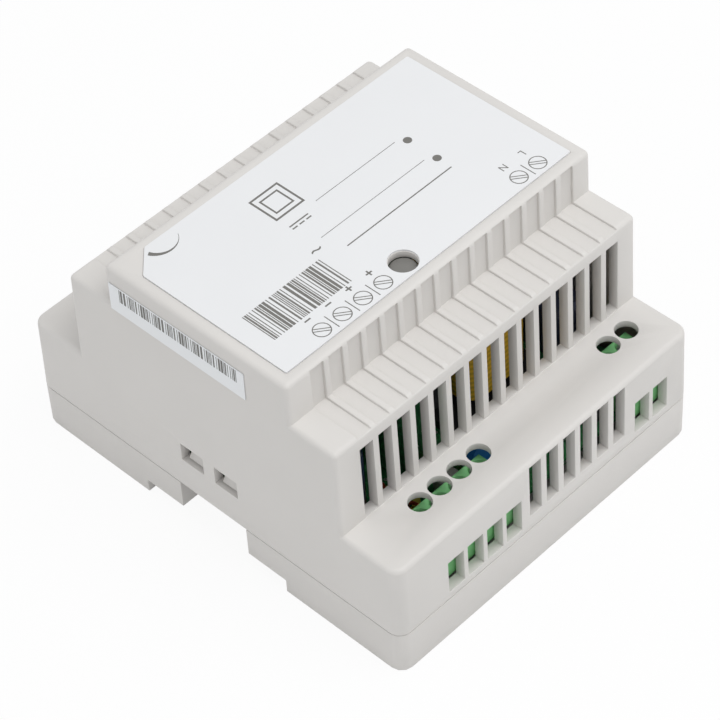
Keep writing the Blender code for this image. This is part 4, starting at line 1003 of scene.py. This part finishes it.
class SUPPLY_OT_side_sticker(bpy.types.Operator):
    """Lays the sticker with its plain bars on the left wall"""

    bl_idname = "supply.side_sticker"
    bl_label = "Side sticker"

    # Thickness of the print, the bars' step and the bare margins round them
    INK = 0.000012
    BAR_STEP = 0.00016
    NEAR_MARGIN = 0.0018
    FAR_MARGIN = 0.0028
    FOOT_MARGIN = 0.0031
    HEAD_MARGIN = 0.0002

    def execute(self, context):
        sticker = refined_copy("side_label", "side_sticker", STICKER_EASE, segments=1)
        paper = satin_film("sticker_paper", colours().sticker, gloss=0.45)
        dress(sticker, paper, "case", "sticker_paper", "side_label")
        low, high = STICKER_LOW, STICKER_HIGH
        z = (low.z + self.FOOT_MARGIN, high.z - self.HEAD_MARGIN)
        spans = bar_spans(low.y + self.NEAR_MARGIN, high.y - self.FAR_MARGIN, self.BAR_STEP)
        bars = join([self.strip(span, z) for span in spans])
        bars.name = "sticker_print"
        ink = satin_film("sticker_ink", tinted(colours().ink, STICKER_INK_TINT), gloss=0.5)
        dress(bars, ink, "case", "sticker_paper")
        return {"FINISHED"}

    def strip(self, y, z):
        """A printed bar that follows the wall's draft."""
        lift = -STICKER_LOW.x - side_x(STICKER_LOW.z)
        bar = new_box("bar", (0, y[0], z[0]), (self.INK, y[1], z[1]))
        edit(bar, "VERT")
        for height in z:
            choose(bar, "verts", lambda v: near(v.co.z, height))
            bpy.ops.transform.translate(value=(-side_x(height) - lift - self.INK, 0, 0))
        leave()
        return bar


# Terminals, insides and light


class SUPPLY_OT_terminals(bpy.types.Operator):
    """Finishes the terminal blocks, their screws and clamp cages"""

    bl_idname = "supply.terminals"
    bl_label = "Terminals"

    def execute(self, context):
        green = glossy_moulding("terminal_green", colours().terminal, gloss=0.36)
        for node in ("output_terminal", "input_terminal"):
            block = refined_copy(node, node + "_block", TERMINAL_EASE)
            low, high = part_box(node)
            step = (low.x - PAST, POLES[0].y + STEP_BEHIND_SCREW, high.z - STEP_DEPTH)
            carve(block, new_box("step_cutter", step, (high.x + PAST, high.y + PAST, high.z + PAST)))
            shade(block)
            dress(block, green, "case", "terminal_green", node)
        steel = brushed_metal("screw_steel", STEEL, gloss=0.30, stretch=(1, 1, 8))
        brass = brushed_metal("clamp_brass", BRASS, gloss=0.34)
        for number in range(1, SCREW_COUNT + 1):
            screw = refined_copy(f"terminal_screw_{number}", f"screw_{number}", SCREW_EASE)
            dress(screw, steel, f"screw_{number}", "zinc_steel", f"terminal_screw_{number}")
            cage = refined_copy(f"clamp_cage_{number}", f"cage_{number}", CAGE_EASE)
            dress(cage, brass, f"cage_{number}", "clamp_brass", f"clamp_cage_{number}")
        return {"FINISHED"}


def coat(material, *nodes):
    """Paints CAD nodes that keep their shape."""
    for node in nodes:
        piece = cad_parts[node]
        piece.data.materials.clear()
        piece.data.materials.append(material)


class SUPPLY_OT_insides(bpy.types.Operator):
    """Finishes the boards and the parts on them"""

    bl_idname = "supply.insides"
    bl_label = "Insides"

    # Height of the bare end on top of a capacitor
    CAN_END = 0.0003

    # Moulded, pressed and dipped parts: tone, gloss, cloudiness and the nodes that have the finish
    MOULDED = {
        "ferrite": ((0.045, 0.045, 0.05), 0.5, 0.25, ("transformer_core", "choke_core")),
        "ring_core": ((0.45, 0.40, 0.06), 0.5, 0.15, ("inductor_core",)),
        "black_epoxy": ((0.018, 0.018, 0.02), 0.45, 0.2,
                        ("transformer_bobbin", "switching_transistor", "output_rectifier",
                         "bridge_rectifier", "fuse", "controller_chip")),
        "mains_film": ((0.04, 0.05, 0.09), 0.35, 0.1, ("mains_capacitor",)),
        "disc_blue": ((0.02, 0.16, 0.50), 0.3, 0.12, ("safety_capacitor",)),
        "disc_dark": ((0.03, 0.035, 0.035), 0.35, 0.15, ("thermistor",)),
        "chip_white": ((0.72, 0.71, 0.67), 0.4, 0.05, ("optocoupler",)),
        "trimmer_blue": ((0.03, 0.10, 0.36), 0.35, 0.05, ("trimmer_body",)),
        "rotor_white": ((0.80, 0.78, 0.72), 0.4, 0.05, ("trimmer_rotor",)),
        "spacer_black": ((0.06, 0.06, 0.06), 0.55, 0.05, ("led_spacer",)),
    }

    def execute(self, context):
        tone = colours()
        coat(solder_mask("solder_mask", tone.board), "main_pcb", "daughter_pcb")
        coat(brushed_metal("board_screw_steel", STEEL), "pcb_screw_1", "pcb_screw_2", "pcb_screw_3",
             "pcb_screw_4", "primary_sink_screw", "secondary_sink_screw")
        coat(wound_tape("transformer_tape", tone.tape), "transformer_winding")
        coat(enamelled_wire("enamelled_wire", tone.wire), "inductor_winding", "choke_winding_1",
             "choke_winding_2")
        aluminium = brushed_metal("sink_aluminium", ALUMINIUM, gloss=0.36, stretch=(1, 14, 1))
        coat(aluminium, "primary_heatsink", "secondary_heatsink")
        for node in ("bulk_capacitor", "output_capacitor_1", "output_capacitor_2"):
            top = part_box(node)[1].z - self.CAN_END
            coat(capacitor_sleeve(f"{node}_sleeve", tone.sleeve, top), node)
        for name, (colour, gloss, cloudiness, nodes) in self.MOULDED.items():
            coat(glossy_moulding(name, colour, gloss, cloudiness), *nodes)
        return {"FINISHED"}


class SUPPLY_OT_status_light(bpy.types.Operator):
    """Models the stepped lens of the status light"""

    bl_idname = "supply.status_light"
    bl_label = "Status light"

    # Gap to the hole's wall, width and height of the step, and the round on its edges
    SIDE_GAP = 0.0001
    LEDGE = 0.00032
    STEP = 0.0003
    EDGE = 0.00012

    def execute(self, context):
        radius = case_sizes().light_hole / 2 - self.SIDE_GAP
        lens = new_rod("light_lens", LIGHT, radius, LIGHT_LOW.z, LIGHT_HIGH.z - self.STEP)
        weld_on(lens, new_rod("lens_face", LIGHT, radius - self.LEDGE, LIGHT.z, LIGHT_HIGH.z))
        round_edges(lens, self.EDGE, CRISP_STEPS,
                    lambda e: is_convex(e) and min(v.co.z for v in e.verts) > LIGHT.z)
        shade(lens)
        grey = glossy_moulding("light_lens", LENS_GREY, gloss=0.46)
        dress(lens, grey, "case", "lamp_lens", "status_led")
        return {"FINISHED"}


# Stage


class SUPPLY_OT_stage(bpy.types.Operator):
    """Sets the floor, lights, sky and camera"""

    bl_idname = "supply.stage"
    bl_label = "Stage"

    # Floor: its width, its drop under the feet, its grey and the share of it seen as plain white
    FLOOR_SIZE = 6
    FLOOR_DROP = 0.0001
    FLOOR_GREY = (0.86, 0.86, 0.86)
    FLOOR_WHITE = 0.93
    WHITE = (1, 1, 1)
    SKY_TINT = (0.97, 0.985, 1)

    # Lamps, all aimed at one point: the setting with the power, the diameter and the place
    LAMPS = {
        "key_light": ("key_power", 0.55, (0.10, -0.22, 0.62)),
        "fill_light": ("fill_power", 0.60, (0.55, -0.42, 0.25)),
        "side_light": ("side_power", 0.60, (-0.55, 0.05, 0.30)),
    }
    AIM = Vector((0, 0, 0.025))
    SENSOR = 36
    NEAR_CLIP = 0.01

    def execute(self, context):
        stage = context.scene.supply_stage
        self.lay_floor()
        for name, (setting, diameter, place) in self.LAMPS.items():
            self.light(name, getattr(stage, setting), diameter, place)
        self.set_sky(context.scene, stage.sky)
        self.set_camera(context.scene, stage)
        context.scene.view_settings.view_transform = "Standard"
        return {"FINISHED"}

    def lay_floor(self):
        focus()
        place = (0, 0, CASE_LOW.z - self.FLOOR_DROP)
        bpy.ops.mesh.primitive_plane_add(size=self.FLOOR_SIZE, location=place)
        floor = bpy.context.object
        floor.name = "floor"
        apply_place(floor)
        paint = Paint("floor_white")
        tree = paint.tree
        tree.nodes.remove(paint.shader)
        matt = paint.node("ShaderNodeBsdfDiffuse", None, {"Color": self.FLOOR_GREY})
        glow = paint.node("ShaderNodeEmission", None, {"Color": self.WHITE, "Strength": 1.0})
        share = paint.seen() * self.FLOOR_WHITE
        mixed = paint.node("ShaderNodeMixShader", None, {0: share, 1: matt, 2: glow})
        tree.links.new(mixed.socket, tree.nodes["Material Output"].inputs["Surface"])
        floor.data.materials.append(paint.material)

    def light(self, name, energy, diameter, place):
        lamp = bpy.data.lights.new(name, "AREA")
        lamp.energy = energy
        lamp.size = diameter
        lamp.shape = "DISK"
        held = bpy.data.objects.new(name, lamp)
        held.location = place
        held.rotation_euler = (self.AIM - Vector(place)).to_track_quat("-Z", "Y").to_euler()
        bpy.context.scene.collection.objects.link(held)

    def set_sky(self, scene, strength):
        world = bpy.data.worlds.new("even_sky")
        paint = Paint("even_sky", world)
        sky = paint.node("ShaderNodeBackground", None, {"Color": self.SKY_TINT, "Strength": strength})
        white = paint.node("ShaderNodeBackground", None, {"Color": self.WHITE, "Strength": 1.0})
        mixed = paint.node("ShaderNodeMixShader", None, {0: paint.seen(), 1: sky, 2: white})
        paint.tree.links.new(mixed.socket, paint.tree.nodes["World Output"].inputs["Surface"])
        scene.world = world

    def set_camera(self, scene, stage):
        turn, lift, roll = stage.azimuth, stage.elevation, stage.roll
        back = Vector((math.sin(turn) * math.cos(lift), -math.cos(turn) * math.cos(lift), math.sin(lift)))
        right = Vector((math.cos(turn), math.sin(turn), 0))
        up = back.cross(right)
        axis_x = math.cos(roll) * right + math.sin(roll) * up
        axis_y = math.cos(roll) * up - math.sin(roll) * right
        lens = bpy.data.cameras.new("photo_camera")
        lens.lens = stage.lens
        lens.sensor_width = self.SENSOR
        lens.clip_start = self.NEAR_CLIP
        camera = bpy.data.objects.new("photo_camera", lens)
        turned = Matrix((axis_x, axis_y, back)).transposed().to_4x4()
        camera.matrix_world = Matrix.Translation(Vector(stage.target) + back * stage.distance) @ turned
        scene.collection.objects.link(camera)
        scene.camera = camera


class SUPPLY_PT_panel(bpy.types.Panel):
    """Lists the pieces of the supply"""

    bl_label = "Rail Supply"
    bl_idname = "SUPPLY_PT_panel"
    bl_space_type = "VIEW_3D"
    bl_region_type = "UI"
    bl_category = "Rail Supply"

    def draw(self, context):
        for operator in STEPS:
            self.layout.operator(operator.bl_idname)
        scene = context.scene
        for group in (scene.supply_colours, scene.supply_case, scene.supply_stage):
            for key in group.bl_rna.properties.keys():
                if key not in ("rna_type", "name"):
                    self.layout.prop(group, key)


STEPS = (SUPPLY_OT_cover, SUPPLY_OT_base, SUPPLY_OT_front_label, SUPPLY_OT_side_sticker,
         SUPPLY_OT_terminals, SUPPLY_OT_insides, SUPPLY_OT_status_light, SUPPLY_OT_stage)
CLASSES = (CaseSizes, FinishColours, StageSettings, *STEPS, SUPPLY_PT_panel)


def register():
    for made in CLASSES:
        bpy.utils.register_class(made)
    bpy.types.Scene.supply_case = bpy.props.PointerProperty(type=CaseSizes)
    bpy.types.Scene.supply_colours = bpy.props.PointerProperty(type=FinishColours)
    bpy.types.Scene.supply_stage = bpy.props.PointerProperty(type=StageSettings)


def unregister():
    del bpy.types.Scene.supply_stage
    del bpy.types.Scene.supply_colours
    del bpy.types.Scene.supply_case
    for made in reversed(CLASSES):
        bpy.utils.unregister_class(made)


def main():
    register()
    bpy.ops.supply.cover()
    bpy.ops.supply.base()
    bpy.ops.supply.front_label()
    bpy.ops.supply.side_sticker()
    bpy.ops.supply.terminals()
    bpy.ops.supply.insides()
    bpy.ops.supply.status_light()
    bpy.ops.supply.stage()
    focus()


if __name__ == "__main__":
    main()
